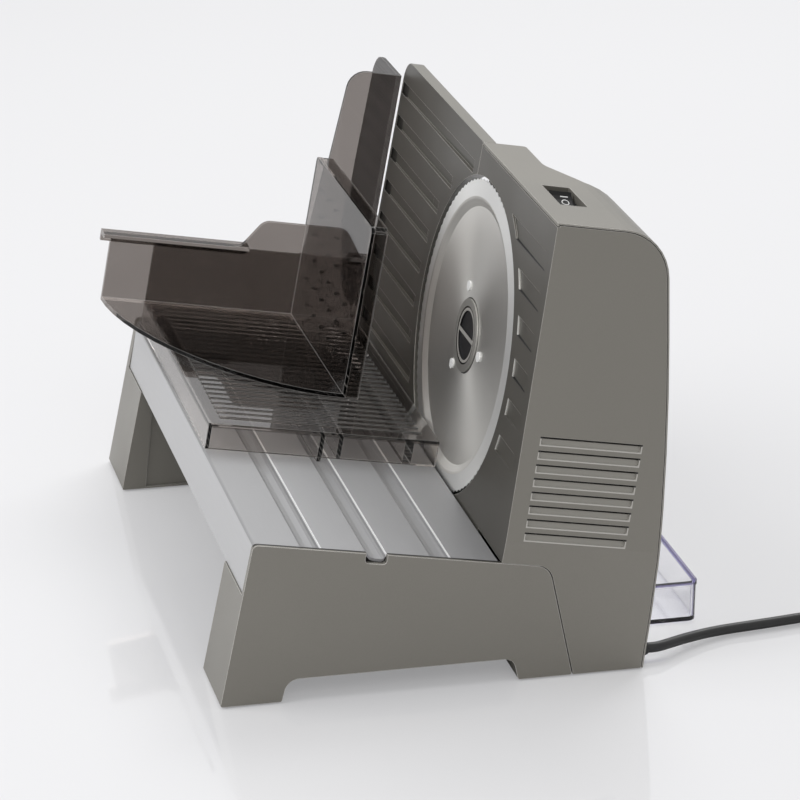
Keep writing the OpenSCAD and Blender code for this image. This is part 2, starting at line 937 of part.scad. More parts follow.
module spindle_bush() {
    color("#b48a4a")
        at_blade()
            difference() {
                bar_x(bush_od - 2*shaft_gap, pocket_d, pocket_d + bush_len);
                bar_x(spindle_d + 2*shaft_gap, pocket_d - over, pocket_d + bush_len + over);
            }
}

tooth_pitch = PI*drive_module;
wheel_tip = wheel_r + 1;
wheel_root = wheel_r - 1.8;
wheel_step = 360/wheel_teeth;

// Wheel with a gap, not a tooth, facing the worm
wheel_tooth = [[-0.25, 0], [-0.13, 1], [0.13, 1], [0.25, 0]];
function wheel_outline() = [for (k = [0:wheel_teeth - 1]) for (q = wheel_tooth)
    let(a = -90 + wheel_step*(k + 0.5 + q[0]), r = q[1] > 0 ? wheel_tip : wheel_root) r*[cos(a), sin(a)]];

module worm_wheel() {
    web = 2.2;
    hub_r = spindle_d/2 + 5;
    color("#d8cfa8")
        at_blade()
            difference() {
                along_x(drive_u - wheel_t/2, drive_u + wheel_t/2)
                    polygon(wheel_outline());
                bar_x(spindle_d + 2*shaft_gap, 0, 2*drive_u);
                for (s = [-1, 1])
                    translate([drive_u + s*(wheel_t/2 + web/2), 0, 0])
                        difference() {
                            bar_x(2*(wheel_root - 4), -wheel_t/2, wheel_t/2);
                            bar_x(2*hub_r, -wheel_t, wheel_t);
                        }
            }
}

// Tube swept along points: rings of equal sides, closed by fans
function tangent(p, i) = let(n = len(p)) unit(p[min(i + 1, n - 1)] - p[max(i - 1, 0)]);
function side_of(t) = let(s = cross([0, 0, 1], t)) unit(norm(s) > 0.1 ? s : cross([1, 0, 0], t));
function ring(p, i, r, n) = let(t = tangent(p, i), s = side_of(t), u = cross(t, s))
    [for (k = [0:n - 1]) p[i] + r*(cos(360*k/n)*s + sin(360*k/n)*u)];
function tube_points(p, r, n) = concat([p[0]], [for (i = [0:len(p) - 1]) each ring(p, i, r, n)],
    [p[len(p) - 1]]);
function tube_faces(m, n) = concat(
    [for (k = [0:n - 1]) [0, 1 + k, 1 + (k + 1) % n]],
    [for (i = [0:m - 2]) for (k = [0:n - 1]) for (f = [0, 1])
        let(a = 1 + i*n + k, b = 1 + i*n + (k + 1) % n)
        f == 0 ? [a, a + n, b] : [b, a + n, b + n]],
    [for (k = [0:n - 1]) [1 + m*n, 1 + (m - 1)*n + (k + 1) % n, 1 + (m - 1)*n + k]]);

module tube(p, r, n) {
    polyhedron(tube_points(p, r, n), tube_faces(len(p), n), convexity = 10);
}

worm_len = 24;
thread_r = 0.8;
thread_helix = worm_r - 0.4;
worm_core = 4.6;

// Frame of the motor's axis, along y
module at_motor() {
    sloped()
        translate([drive_u, 0, worm_h])
            children();
}

// Single-start worm on the armature shaft
module worm() {
    turns = floor(worm_len/tooth_pitch) - 1;
    color("#b8b9bb")
        difference() {
            at_motor()
                union() {
                    bar_y(2*worm_core, blade_y - worm_len/2, blade_y + worm_len/2);
                    tube([for (k = [-turns*5:turns*5]) let(a = 36*k, y = blade_y + tooth_pitch*k/10)
                        [thread_helix*sin(a), y, thread_helix*cos(a)]], thread_r, 6);
                }
            at_motor()
                bar_y(armature_d + 2*shaft_gap, blade_y - worm_len, blade_y + worm_len);
        }
}

motor_y = 26;
can_t = 2;
bell_t = 3;
rotor_gap = 1.5;
shaft_y0 = motor_y - 14;
shaft_y1 = blade_y + worm_len/2 + 4;

// Rotor and its shaft in one turned piece
module armature() {
    rotor_r = motor_r - can_t - 5;
    color("#8f6a4a")
        at_motor()
            union() {
                bar_y(armature_d, shaft_y0, shaft_y1);
                bar_y(2*rotor_r, motor_y + 9, motor_y + motor_len - 14);
                bar_y(rotor_r, motor_y + motor_len - 14, motor_y + motor_len - 5);
            }
}

module motor_can() {
    color("#7d7f82")
        at_motor()
            difference() {
                bar_y(2*motor_r, motor_y, motor_y + motor_len);
                bar_y(2*(motor_r - can_t), motor_y - over, motor_y + motor_len + over);
            }
}

// End bells with the shaft's bearings
module motor_end_bells() {
    boss = 9;
    color("#8b8d90")
        at_motor()
            for (m = [0, 1])
                translate([0, m == 0 ? motor_y - bell_t - 0.02 : motor_y + motor_len + 0.02, 0])
                    difference() {
                        union() {
                            bar_y(2*motor_r, 0, bell_t);
                            bar_y(2*boss, m == 0 ? -2 : bell_t - over, m == 0 ? over : bell_t + 2);
                        }
                        bar_y(armature_d + 2*shaft_gap, -2*bell_t, 3*bell_t);
                    }
}

// Cooling fan on the shaft's near end
module fan() {
    fan_r = motor_r - 4;
    vane_t = 1.2;
    fan_t = 6;
    fan_y = shaft_y0 + 1;
    color("#2b2b2b")
        at_motor()
            difference() {
                union() {
                    bar_y(2*fan_r, fan_y + fan_t - 1.5, fan_y + fan_t);
                    bar_y(12, fan_y, fan_y + fan_t);
                    for (k = [0:8])
                        rotate([0, 40*k, 0])
                            block([4, fan_y + over/2, -vane_t/2],
                                [fan_r - over, fan_y + fan_t - over, vane_t/2]);
                }
                bar_y(armature_d + 2*shaft_gap, 0, motor_y);
            }
}

// Clamp that holds the motor against the back of the blade's cup
module motor_bracket() {
    clamp_t = 2.4;
    clamp_w = 10;
    arm_h = 16;
    clamp_y = motor_y + 0.7*motor_len;
    color("#6b6c6e")
        at_motor()
            difference() {
                union() {
                    bar_y(2*(motor_r + clamp_t), clamp_y - clamp_w/2, clamp_y + clamp_w/2);
                    block([pocket_d + pocket_wall + 0.05 - drive_u, clamp_y - clamp_w/2, -arm_h/2],
                        [-motor_r + clamp_t, clamp_y + clamp_w/2, arm_h/2]);
                }
                bar_y(2*(motor_r + shaft_gap), clamp_y - clamp_w, clamp_y + clamp_w);
            }
}

// STOP PLATE
stop_w0 = 1;
stop_y0 = housing_len + 0.7;
stop_end = body_len - stop_inset;
stop_lean = 3.2;
stop_r = blade_r + blade_gap;
stop_band_h = 7;
stop_band_pitch = 19.7;
stop_band_w = 158.8;
stop_corner = 12;

// Plate outline in y and w, with an arc that follows the blade's teeth
function stop_outline() = let(low = -asin((blade_h - stop_w0)/stop_r),
    high = acos((stop_y0 - blade_y)/stop_r))
    concat(arc([blade_y, blade_h], stop_r, low, high, 28),
        [[stop_y0, housing_h]],
        corner([stop_y0, housing_h], [stop_end - stop_lean, housing_h], [stop_end, stop_w0],
            stop_corner, 6),
        [[stop_end, stop_w0]]);

module stop_plate() {
    cell_w0 = stop_w0 + 34;
    cell_y = 25;
    cell_w = 30;
    cell_rib = 3;
    cell_y0 = stop_end - 13 - 3*(cell_y + cell_rib);
    skin = 2.4;
    color("#5c5952")
        sloped()
            difference() {
                along_x(0, stop_t)
                    polygon(stop_outline());
                for (k = [0:7]) {
                    w0 = stop_band_w - k*stop_band_pitch;
                    mid = w0 + stop_band_h/2 - blade_h;
                    reach = stop_r*stop_r > mid*mid ? sqrt(stop_r*stop_r - mid*mid) : 0;
                    y0 = max(stop_y0 + 8, blade_y + reach + 10);
                    y1 = stop_end - 5;
                    translate([0, y1, w0])
                        rotate([0, 0, atan(band_d/(y1 - y0))])
                            block([-3*over, y0 - y1, 0], [band_d, 0, stop_band_h]);
                }
                for (k = [0:2], j = [0:3])
                    translate([0, cell_y0 + (cell_y + cell_rib)*k, cell_w0 + (cell_w + cell_rib)*j])
                        block([skin, 0, 0], [stop_t + over, cell_y, cell_w]);
            }
}

carrier_u0 = -1.5;
carrier_u1 = 14.5;
rack_u0 = -2;
rack_len = slice_max + 6;
rack_y0 = rod_y1 + rod_d/2 + 1;
rack_w = 8;
bracket_t = 3;
bracket_h = 30;
pinion_m = 2*pinion_r/pinion_teeth;
rack_line = pinion_w + pinion_r;

// Slide on the guide rods that carries the stop plate, with a rack underneath
module stop_carrier() {
    pitch = PI*pinion_m;
    color("#3c3b38")
        sloped()
            difference() {
                union() {
                    block([carrier_u0, rod_y1 - 5, rod_w - carrier_h/2],
                        [carrier_u1, rod_y2 + 5, rod_w + carrier_h/2]);
                    block([stop_t + 0.05, neck_y0, rod_w], [stop_t + bracket_t, neck_y1, bracket_h]);
                    block([0.8, neck_y0, rod_w], [stop_t + bracket_t, neck_y1, stop_w0 - 0.05]);
                    block([rack_u0, rack_y0, rack_line + pinion_m],
                        [rack_u0 + rack_len, rack_y0 + rack_w, rod_w - 1]);
                    for (k = [-6:2])
                        translate([adjuster_u + (k - 0.5)*pitch, rack_y0 + rack_w, rack_line])
                            rotate([90, 0, 0])
                                linear_extrude(rack_w)
                                    polygon([[-0.9*pinion_m, 1.2*pinion_m], [-0.32*pinion_m, -0.8*pinion_m],
                                        [0.32*pinion_m, -0.8*pinion_m], [0.9*pinion_m, 1.2*pinion_m]]);
                }
                for (y = [rod_y1, rod_y2])
                    translate([0, y, rod_w])
                        bar_x(rod_d + 2*shaft_gap, carrier_u0 - over, carrier_u1 + over);
                block([carrier_u0 - 4*over, rack_y0 - over, rack_line - 2*pinion_m],
                    [rack_u0, rack_y0 + rack_w + over, rod_w - carrier_h/2]);
                block([rack_u0 + rack_len, rack_y0 - over, rack_line - 2*pinion_m],
                    [rack_u0 + 2*rack_len, rack_y0 + rack_w + over, rod_w - carrier_h/2]);
            }
}

frame_u0 = -6.5;
arm_t = 4;
frame_u1 = rack_u0 + rack_len + slice_max + arm_t + over;

module guide_rods() {
    color("#c4c6c8")
        sloped()
            for (y = [rod_y1, rod_y2])
                translate([0, y, rod_w])
                    bar_x(rod_d, frame_u0, frame_u1);
}

// Bracket on the inside of the far end wall that holds the rods
module slide_frame() {
    y1 = body_len - support_wall - 0.05;
    y0 = rod_y2 + 6.5;
    color("#7a7c7e")
        sloped()
            difference() {
                union() {
                    block([frame_u0, y0, rod_w - carrier_h/2], [frame_u1, y1, rod_w + carrier_h/2]);
                    for (u = [frame_u0, frame_u1 - arm_t])
                        block([u, rod_y1 - 6, rod_w - carrier_h/2], [u + arm_t, y1, rod_w + carrier_h/2]);
                }
                for (y = [rod_y1, rod_y2])
                    translate([0, y, rod_w])
                        bar_x(rod_d + 2*shaft_gap, frame_u0 - over, frame_u1 + over);
            }
}

knob_gap = 0.4;
knob_bore = 11;

module at_adjuster() {
    sloped()
        translate([adjuster_u, 0, pinion_w])
            children();
}

module adjuster_shaft() {
    color("#a5a7a9")
        at_adjuster()
            bar_y(shaft_d, rack_y0 - 2, body_len + knob_gap + knob_bore);
}

// Pinion with one tooth pointing at the rack
module adjuster_pinion() {
    step = 360/pinion_teeth;
    tip = pinion_r + 0.7*pinion_m;
    root = pinion_r - 1.2*pinion_m;
    color("#cfcabb")
        at_adjuster()
            difference() {
                along_y(rack_y0, rack_y0 + rack_w)
                    polygon([for (k = [0:pinion_teeth - 1])
                        for (q = [[-0.3, root], [-0.1, tip], [0.1, tip], [0.3, root]])
                            let(a = 90 + step*(k + q[0]))
                                q[1]*[cos(a), sin(a)]]);
                bar_y(shaft_d + 2*shaft_gap, 0, body_len);
            }
}

// Dial knob with a fluted grip and a pointer rib
module thickness_knob() {
    skirt = 5;
    flutes = 20;
    flute_d = 0.9;
    grip_r = knob_d/2 - 3;
    y0 = body_len + knob_gap;
    color("#2c2b29")
        at_adjuster()
            difference() {
                union() {
                    bar_y(knob_d, y0, y0 + skirt);
                    along_y(y0 + skirt - over, y0 + knob_h)
                        polygon([for (i = [0:flutes*4 - 1]) let(a = 360*i/(flutes*4),
                            r = grip_r - flute_d*(1 - cos(flutes*a))/2) r*[cos(a), sin(a)]]);
                    block([-1, y0 + knob_h - over, 4], [1, y0 + knob_h + 0.6, grip_r - 1.5]);
                }
                bar_y(shaft_d + 2*shaft_gap, y0 - over, y0 + knob_bore + run_gap);
            }
}

// CARRIAGE
car_right = -1;
car_left = table_left + 1;
car_end = carriage_y + carriage_len;
runner_gap = 0.6;
tall_foot = 4;
guard_low = 24;
rib_edge = 8;
rib_margin = 10;
rib_n = floor((carriage_len - 2*rib_margin)/rib_pitch);

// Sliding base with skirts and ribs, a back wall and a thumb guard, in one clear moulding
module carriage() {
    t = clear_t;
    color("#4a423f", 0.6)
        sloped()
            union() {
                block([car_left, carriage_y, carriage_h - t], [car_right, car_end, carriage_h]);
                block([car_left, carriage_y, runner_gap], [car_right, carriage_y + t, carriage_h]);
                block([car_left, carriage_y, runner_gap], [car_left + t, car_end, carriage_h]);
                for (u = [car_right - 16, car_right - 16 - t, groove_u + groove_w/2 + 4])
                    block([u, carriage_y + t, runner_gap], [u + t, car_end, carriage_h - t/2]);
                block([groove_u - 1, carriage_y + t, -groove_d + runner_gap],
                    [groove_u + 1.5, car_end, carriage_h - t/2]);
                for (k = [0:rib_n - 1])
                    translate([0, carriage_y + rib_margin + k*rib_pitch, carriage_h])
                        block([car_left + rib_edge, 0, -rib_h/2],
                            [car_right - rib_edge, rib_pitch/2, rib_h]);
                along_y(car_end - t, car_end)
                    polygon(rounded([[car_left, carriage_h - t, 0], [car_left, rail_h, 3],
                        [car_right - back_w - tall_foot, rail_h, 6],
                        [car_right - back_w + tall_foot, back_h, 11], [car_right, back_h, 2],
                        [car_right, carriage_h - t, 0]]));
                along_x(car_right - t, car_right)
                    polygon(rounded([[car_end - t, guard_low, 0], [car_end + guard_len/2, guard_low, 16],
                        [carriage_end, rail_h + 6, 16], [carriage_end, back_h/2 + 16, 0],
                        [carriage_end - 5, back_h, 15], [car_end - t, back_h, 0]]));
            }
}

// PUSHER
wall_y1 = car_end - clear_t - 3.8;
push_y0 = wall_y1 - pusher_len;
hook_w = rail_h + run_gap;
hook_right = -75;
hook_drop = 4;
high_wall = 74;
shelf_n = 1.8;
spike_n = 6;
spike_edge = 16;
spike_y = (pusher_len - 2*spike_edge)/(spike_n - 0.5);
spike_w = (pusher_h - shelf_w - 2*spike_edge)/(spike_n - 1);

// Shelf outline: a rounded quarter from the face to the far left corner
function shelf_outline() = concat([[-pusher_u, wall_y1], [pusher_left, wall_y1]],
    [for (i = [0:14]) let(a = 90*i/14, c = pow(cos(a), 2/shelf_n), s = pow(sin(a), 2/shelf_n))
        [-pusher_u - shelf_len*c, wall_y1 - pusher_len*s]]);

// Food holder: face with a rim and spikes, shelf for the hand, and a wall that hooks over the carriage
module pusher() {
    t = clear_t;
    f = -pusher_u;
    color("#4a423f", 0.6)
        sloped()
            union() {
                along_x(f, f + t)
                    polygon(rounded([[push_y0, shelf_w, 0], [wall_y1, shelf_w, 0], [wall_y1, pusher_h, 3],
                        [push_y0, pusher_h, 4]]));
                block([f, push_y0 + 3, pusher_h - t], [f + pusher_rim, wall_y1 - 3, pusher_h]);
                block([f, push_y0, shelf_w], [f + pusher_rim, push_y0 + t, pusher_h - 3]);
                translate([0, 0, shelf_w])
                    linear_extrude(t)
                        polygon(shelf_outline());
                along_y(wall_y1 - t, wall_y1)
                    polygon(rounded([[f + t, shelf_w, 0], [f + t, high_wall, 0],
                        [hook_right + 6, high_wall, 8], [hook_right - 6, hook_w + t, 8],
                        [pusher_left, hook_w + t, 3], [pusher_left, shelf_w, 0]]));
                block([pusher_left - hook_over, wall_y1 - t, hook_w],
                    [hook_right, car_end + run_gap + t, hook_w + t]);
                block([pusher_left - hook_over, car_end + run_gap, hook_w - hook_drop],
                    [hook_right, car_end + run_gap + t, hook_w + t]);
                for (k = [0:spike_n - 1], j = [0:spike_n - 1])
                    translate([f + t - 0.1, push_y0 + spike_edge + spike_y*(k + (j % 2)/2),
                        shelf_w + spike_edge + spike_w*j])
                        rotate([0, 90, 0])
                            cylinder(d1 = 2.4, d2 = 0.5, h = 3.2, $fn = 24);
            }
}

// TRAY
tray_r = 5;

module tray_slab(inset, r, z0, z1) {
    translate([tray_right - tray_w, tray_y, z0])
        linear_extrude(z1 - z0)
            polygon(rounded(box_outline(inset, inset, tray_w - inset, tray_len - inset, r)));
}

// Shallow open tray with a rim, standing loose on the worktop
module slice_tray() {
    rim = 0.5;
    rim_h = 2;
    color("#dfe0ee", 0.4)
        level()
            difference() {
                union() {
                    tray_slab(rim, tray_r, 0, tray_h);
                    tray_slab(0, tray_r + rim, tray_h - rim_h, tray_h);
                }
                tray_slab(rim + tray_t, tray_r - tray_t, tray_t, tray_h + over);
            }
}

// CORD
cord_y = 11.5;
cord_z = 6.5;
gland_len = 5;
gland_neck = 8;
gland_d = 8.6;
gland_tip = 6.8;

module gland_place() {
    level()
        translate([back_x(cord_z), cord_y, cord_z])
            children();
}

// Tapered sleeve that keeps the cord from bending at the housing
module cord_gland() {
    color("#191919")
        gland_place() {
            bar_x(gland_neck - 2*shaft_gap, -shell_t - 1, 0.6);
            translate([0.5, 0, 0])
                rotate([0, 90, 0])
                    cylinder(d1 = gland_d, d2 = gland_tip, h = gland_len - 0.5);
        }
}

// Points of the cord on the floor, chosen by hand
lead_route = [[88, 11.5, 6.5], [92, 12.6, 6.4], [96.5, 14.9, 6.1], [101, 17.6, 5.6], [106, 20.5, 5.1],
    [112.3, 23.6, 4.6], [119, 26.6, 4.1], [126, 29.1, 3.7], [137.1, 32, 3.2], [148.6, 33.4, 3.2],
    [160, 34.8, 3.2], [172, 36.4, 3.2], [185, 38.2, 3.2], [198, 40, 3.2], [210, 41.2, 3.2],
    [222, 41.8, 3.2], [234, 42, 3.2], [244, 42, 3.2]];
coil_at = [250, 42 - coil_r];
layer_gap = 0.6;
coil_step = cord_d + layer_gap;
coil_z = 3.2;
turn_back = coil_turns + 0.25;
coil_end = 2*turn_back - 0.25;

module cord_lead() {
    color("#161616")
        level()
            tube(concat([[back_x(cord_z) + gland_len, cord_y, cord_z]], lead_route), cord_d/2, 10);
}

// Coil: spirals in on the floor, climbs while it turns back, spirals out on top
function climb(t) = let(s = min(1, max(0, (t - coil_turns)*2))) s*s*(3 - 2*s);
function coil_point(t) = let(r = coil_r - coil_step*(t < turn_back ? t : 2*turn_back - t), a = 90 - 360*t)
    [coil_at.x + r*cos(a), coil_at.y + r*sin(a), coil_z + coil_step*climb(t)];
coil_steps = round(coil_end*24);
tail_x = coil_point(coil_end).x;
tail_route = [[0, 6, 9.4], [0, 13, 9.1], [0, 21, 8.3], [0, 29, 7.5], [0, 36, 7.1], [0, 42, 7]];
plug_z = 7;
coil_route = concat([lead_route[len(lead_route) - 1]],
    [for (i = [0:coil_steps]) coil_point(coil_end*i/coil_steps)],
    [for (p = tail_route) [tail_x, coil_at.y - p.y, p.z]]);
coil_gap = min([for (i = [0:3:len(coil_route) - 14]) for (j = [i + 12:len(coil_route) - 1])
    norm(coil_route[i] - coil_route[j])]) - cord_d;
echo(coil_self_gap = coil_gap);

module cord_coil() {
    color("#161616")
        level()
            tube(coil_route, cord_d/2, 6);
}

// Strap round the coil
module cord_tie() {
    strap_w = 9;
    strap_t = 0.3;
    inner_r = coil_r - coil_step*turn_back - cord_d/2 - 0.6;
    outer_r = coil_r + cord_d/2 + 0.6;
    top = coil_z + coil_step + cord_d/2 + 0.6;
    color("#2a2a2a")
        level()
            translate([coil_at.x - strap_w/2, coil_at.y, 0])
                difference() {
                    block([0, -outer_r - strap_t, 0], [strap_w, -inner_r + strap_t, top + strap_t]);
                    block([-over, -outer_r, strap_t], [strap_w + over, -inner_r, top]);
                }
}

plug_w = 26;
plug_t = 13.6;
plug_len = 36;
pin_len = 19;
pin_pitch = 18.6;
plug_pin_d = 4;

module at_plug() {
    level()
        translate([tail_x, coil_at.y - tail_route[len(tail_route) - 1].y, plug_z])
            rotate([0, 0, 180])
                children();
}

// Flat two-pin plug, slim at the cord
module plug_body() {
    color("#181818")
        at_plug()
            hull() {
                along_y(0, 1)
                    polygon(rounded(box_outline(-6, -4, 6, 4, 3), 3));
                along_y(14, plug_len)
                    polygon(rounded(box_outline(-plug_w/2, -plug_t/2, plug_w/2, plug_t/2, 5), 3));
            }
}

module plug_pins() {
    color("#c9cbcc")
        at_plug()
            for (s = [-1, 1])
                translate([s*pin_pitch/2, 0, 0])
                    bar_y(plug_pin_d, plug_len, plug_len + pin_len);
}

near_support();
far_support();
table_sheet();
chassis();
housing_front();
housing_rear();
housing_bottom();
housing_screws();
chassis_screws();
rubber_feet();
switch_frame();
switch_rocker();
blade();
blade_hub();
blade_rivets();
hub_lock();
drive_spindle();
spindle_bush();
worm_wheel();
worm();
armature();
motor_can();
motor_end_bells();
fan();
motor_bracket();
stop_plate();
stop_carrier();
guide_rods();
slide_frame();
adjuster_shaft();
adjuster_pinion();
thickness_knob();
carriage();
pusher();
slice_tray();
cord_gland();
cord_lead();
cord_coil();
cord_tie();
plug_body();
plug_pins();
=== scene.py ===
# Electric food slicer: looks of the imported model.
import bpy
import bmesh
from math import cos, sin, pi, radians
from mathutils import Matrix, Vector


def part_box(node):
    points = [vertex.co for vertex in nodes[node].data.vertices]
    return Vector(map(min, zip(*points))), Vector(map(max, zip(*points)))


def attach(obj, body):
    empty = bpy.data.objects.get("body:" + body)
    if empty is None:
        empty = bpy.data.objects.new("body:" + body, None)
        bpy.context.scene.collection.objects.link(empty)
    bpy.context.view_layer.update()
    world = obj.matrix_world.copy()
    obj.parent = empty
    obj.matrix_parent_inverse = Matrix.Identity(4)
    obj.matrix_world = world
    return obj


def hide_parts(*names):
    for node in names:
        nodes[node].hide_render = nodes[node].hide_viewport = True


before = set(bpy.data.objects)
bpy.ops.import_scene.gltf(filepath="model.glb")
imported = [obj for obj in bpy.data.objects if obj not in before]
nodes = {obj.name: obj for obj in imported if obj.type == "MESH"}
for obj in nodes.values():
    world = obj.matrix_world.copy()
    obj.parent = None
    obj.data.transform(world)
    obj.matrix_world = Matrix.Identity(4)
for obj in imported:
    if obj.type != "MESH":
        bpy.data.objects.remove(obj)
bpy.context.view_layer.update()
scene = bpy.context.scene
scene.view_settings.view_transform = "Standard"

# Camera
# A long lens from in front of the vent end, a little above the housing's top.
# Its place and turn come from the straight edges of the supports, the table and the housing.
view_from = Vector((-0.442243, -1.789902, 0.789852))
pan, dip, roll = radians(-14.11), radians(20.914), radians(0.789)
focal_px, image_px = 3530.145, 800
right = Vector((cos(pan), sin(pan), 0))
back = Vector((sin(pan)*cos(dip), -cos(pan)*cos(dip), sin(dip)))
up = back.cross(right)
level_right = cos(roll)*right + sin(roll)*up
level_up = -sin(roll)*right + cos(roll)*up
lens = bpy.data.cameras.new("camera")
lens.sensor_width = 36
lens.lens = focal_px*lens.sensor_width/image_px
lens.clip_end = 50
camera = bpy.data.objects.new("camera", lens)
camera.matrix_world = Matrix.Translation(view_from) @ Matrix((level_right, level_up, back)).transposed().to_4x4()
scene.collection.objects.link(camera)
scene.camera = camera

# Studio
# A pale floor that mirrors the feet at low angles, under large soft lamps: one over the table's free side,
# one from the front and one from behind the housing. The room is pale, and whiter where gloss and glass show it.
room = bpy.data.worlds.new("room")
room.use_nodes = True
tree = room.node_tree
lighting = tree.nodes["Background"]
lighting.inputs["Color"].default_value = (0.93, 0.93, 0.94, 1)
lighting.inputs["Strength"].default_value = 0.58
backdrop = tree.nodes.new("ShaderNodeBackground")
backdrop.inputs["Color"].default_value = (0.94, 0.94, 0.95, 1)
backdrop.inputs["Strength"].default_value = 0.95
ray = tree.nodes.new("ShaderNodeLightPath")
part_gloss = tree.nodes.new("ShaderNodeMath")
part_gloss.operation = "MULTIPLY"
part_gloss.inputs[1].default_value = 0.3
glossy_or_glass = tree.nodes.new("ShaderNodeMath")
glossy_or_glass.operation = "MAXIMUM"
any_view = tree.nodes.new("ShaderNodeMath")
any_view.operation = "MAXIMUM"
room_mix = tree.nodes.new("ShaderNodeMixShader")
tree.links.new(ray.outputs["Is Glossy Ray"], part_gloss.inputs[0])
tree.links.new(part_gloss.outputs["Value"], glossy_or_glass.inputs[0])
tree.links.new(ray.outputs["Is Transmission Ray"], glossy_or_glass.inputs[1])
tree.links.new(glossy_or_glass.outputs["Value"], any_view.inputs[0])
tree.links.new(ray.outputs["Is Camera Ray"], any_view.inputs[1])
tree.links.new(any_view.outputs["Value"], room_mix.inputs["Fac"])
tree.links.new(lighting.outputs["Background"], room_mix.inputs[1])
tree.links.new(backdrop.outputs["Background"], room_mix.inputs[2])
tree.links.new(room_mix.outputs["Shader"], tree.nodes["World Output"].inputs["Surface"])
scene.world = room


def soft_lamp(name, place, aim, size, watts):
    data = bpy.data.lights.new(name, "AREA")
    data.shape = "RECTANGLE"
    data.size, data.size_y = size
    data.energy = watts
    lamp = bpy.data.objects.new(name, data)
    lamp.location = place
    lamp.rotation_euler = (Vector(aim) - Vector(place)).to_track_quat("-Z", "Y").to_euler()
    scene.collection.objects.link(lamp)


lamp_aim = (0, 0, 0.1)
soft_lamp("lamp_table_side", (-1.6, -0.1, 1.5), lamp_aim, (1.4, 1.6), 23)
soft_lamp("lamp_front", (-0.2, -2.4, 2.0), lamp_aim, (1.8, 1.0), 12)
soft_lamp("lamp_housing_side", (0.9, 1.3, 2.0), lamp_aim, (1.6, 1.2), 30)

floor_half, floor_drop = 8, 0.0002
floor_mesh = bpy.data.meshes.new("floor")
floor_mesh.from_pydata([(-floor_half, -floor_half, 0), (floor_half, -floor_half, 0), (floor_half, floor_half, 0),
                        (-floor_half, floor_half, 0)], [], [(0, 1, 2, 3)])
floor = bpy.data.objects.new("floor", floor_mesh)
scene.collection.objects.link(floor)
floor.location.z = -floor_drop
floor_paint = bpy.data.materials.new("floor_paint")
floor_paint.use_nodes = True
shader = floor_paint.node_tree.nodes["Principled BSDF"]
shader.inputs["Base Color"].default_value = (0.86, 0.86, 0.87, 1)
shader.inputs["IOR"].default_value = 2.2
tree = floor_paint.node_tree
slant = tree.nodes.new("ShaderNodeLayerWeight")
low_gloss = tree.nodes.new("ShaderNodeMapRange")
low_gloss.inputs["From Min"].default_value, low_gloss.inputs["From Max"].default_value = 0.42, 0.53
low_gloss.inputs["To Min"].default_value, low_gloss.inputs["To Max"].default_value = 0.5, 0.05
tree.links.new(slant.outputs["Facing"], low_gloss.inputs["Value"])
tree.links.new(low_gloss.outputs["Result"], shader.inputs["Roughness"])
pale = tree.nodes.new("ShaderNodeEmission")
pale.inputs["Color"].default_value = (0.76, 0.76, 0.775, 1)
ray = tree.nodes.new("ShaderNodeLightPath")
pale_part = tree.nodes.new("ShaderNodeMath")
pale_part.operation = "MULTIPLY"
pale_part.inputs[1].default_value = 0.35
floor_mix = tree.nodes.new("ShaderNodeMixShader")
tree.links.new(ray.outputs["Is Camera Ray"], pale_part.inputs[0])
tree.links.new(pale_part.outputs["Value"], floor_mix.inputs["Fac"])
tree.links.new(shader.outputs["BSDF"], floor_mix.inputs[1])
tree.links.new(pale.outputs["Emission"], floor_mix.inputs[2])
tree.links.new(floor_mix.outputs["Shader"], tree.nodes["Material Output"].inputs["Surface"])
floor_mesh.materials.append(floor_paint)

# Mains cord
# Round black two-core lead of 5.6 mm with a smooth sheath. It leaves the housing through the gland, runs out
# over the worktop, and its spare length lies in a coil of two layers with a strap round it.
cord_d = 0.0056
near_corner = Vector((0.013547, -0.19475, 0))


def machine_point(x, y, z):
    """Millimetres from the near end's foot under the blade-side face, as a place in the frame."""
    return Vector((x, y, z))/1000 + near_corner


lead_points = [(84.0, 11.5, 6.5), (88, 11.5, 6.5), (92, 12.6, 6.4), (96.5, 14.9, 6.1), (101, 17.6, 5.6),
               (106, 20.5, 5.1), (112.3, 23.6, 4.6), (119, 26.6, 4.1), (126, 29.1, 3.7), (137.1, 32, 3.2),
               (148.6, 33.4, 3.2), (160, 34.8, 3.2), (172, 36.4, 3.2), (185, 38.2, 3.2), (198, 40, 3.2),
               (210, 41.2, 3.2), (222, 41.8, 3.2), (234, 42, 3.2), (244, 42, 3.2)]
coil_r, coil_step, coil_turns, coil_z = 42, 6.2, 3, 3.2
coil_x, coil_y, coil_knots = 250, 0, 150
turn_back = coil_turns + 0.25
coil_end = 2*turn_back - 0.25
coil_points = []
for i in range(coil_knots + 1):
    t = coil_end*i/coil_knots
    r = coil_r - coil_step*(t if t < turn_back else 2*turn_back - t)
    s = min(1, max(0, (t - coil_turns)*2))
    a = radians(90 - 360*t)
    coil_points.append((coil_x + r*cos(a), coil_y + r*sin(a), coil_z + coil_step*s*s*(3 - 2*s)))
tail_x = coil_points[-1][0]
tail_points = [(tail_x, coil_y - y, z) for y, z in ((6, 9.4), (13, 9.1), (21, 8.3), (29, 7.5), (36, 7.1), (42, 7))]
route = [machine_point(*p) for p in lead_points + coil_points + tail_points]

cord_curve = bpy.data.curves.new("mains_cord", "CURVE")
cord_curve.dimensions = "3D"
cord_curve.bevel_depth = cord_d/2
cord_curve.bevel_resolution = 4
cord_curve.resolution_u = 4
cord_curve.use_fill_caps = True
spline = cord_curve.splines.new("BEZIER")
spline.bezier_points.add(len(route) - 1)
for knot, p in zip(spline.bezier_points, route):
    knot.co = p
    knot.handle_left_type = knot.handle_right_type = "AUTO"
mains_cord = bpy.data.objects.new("mains_cord", cord_curve)
scene.collection.objects.link(mains_cord)

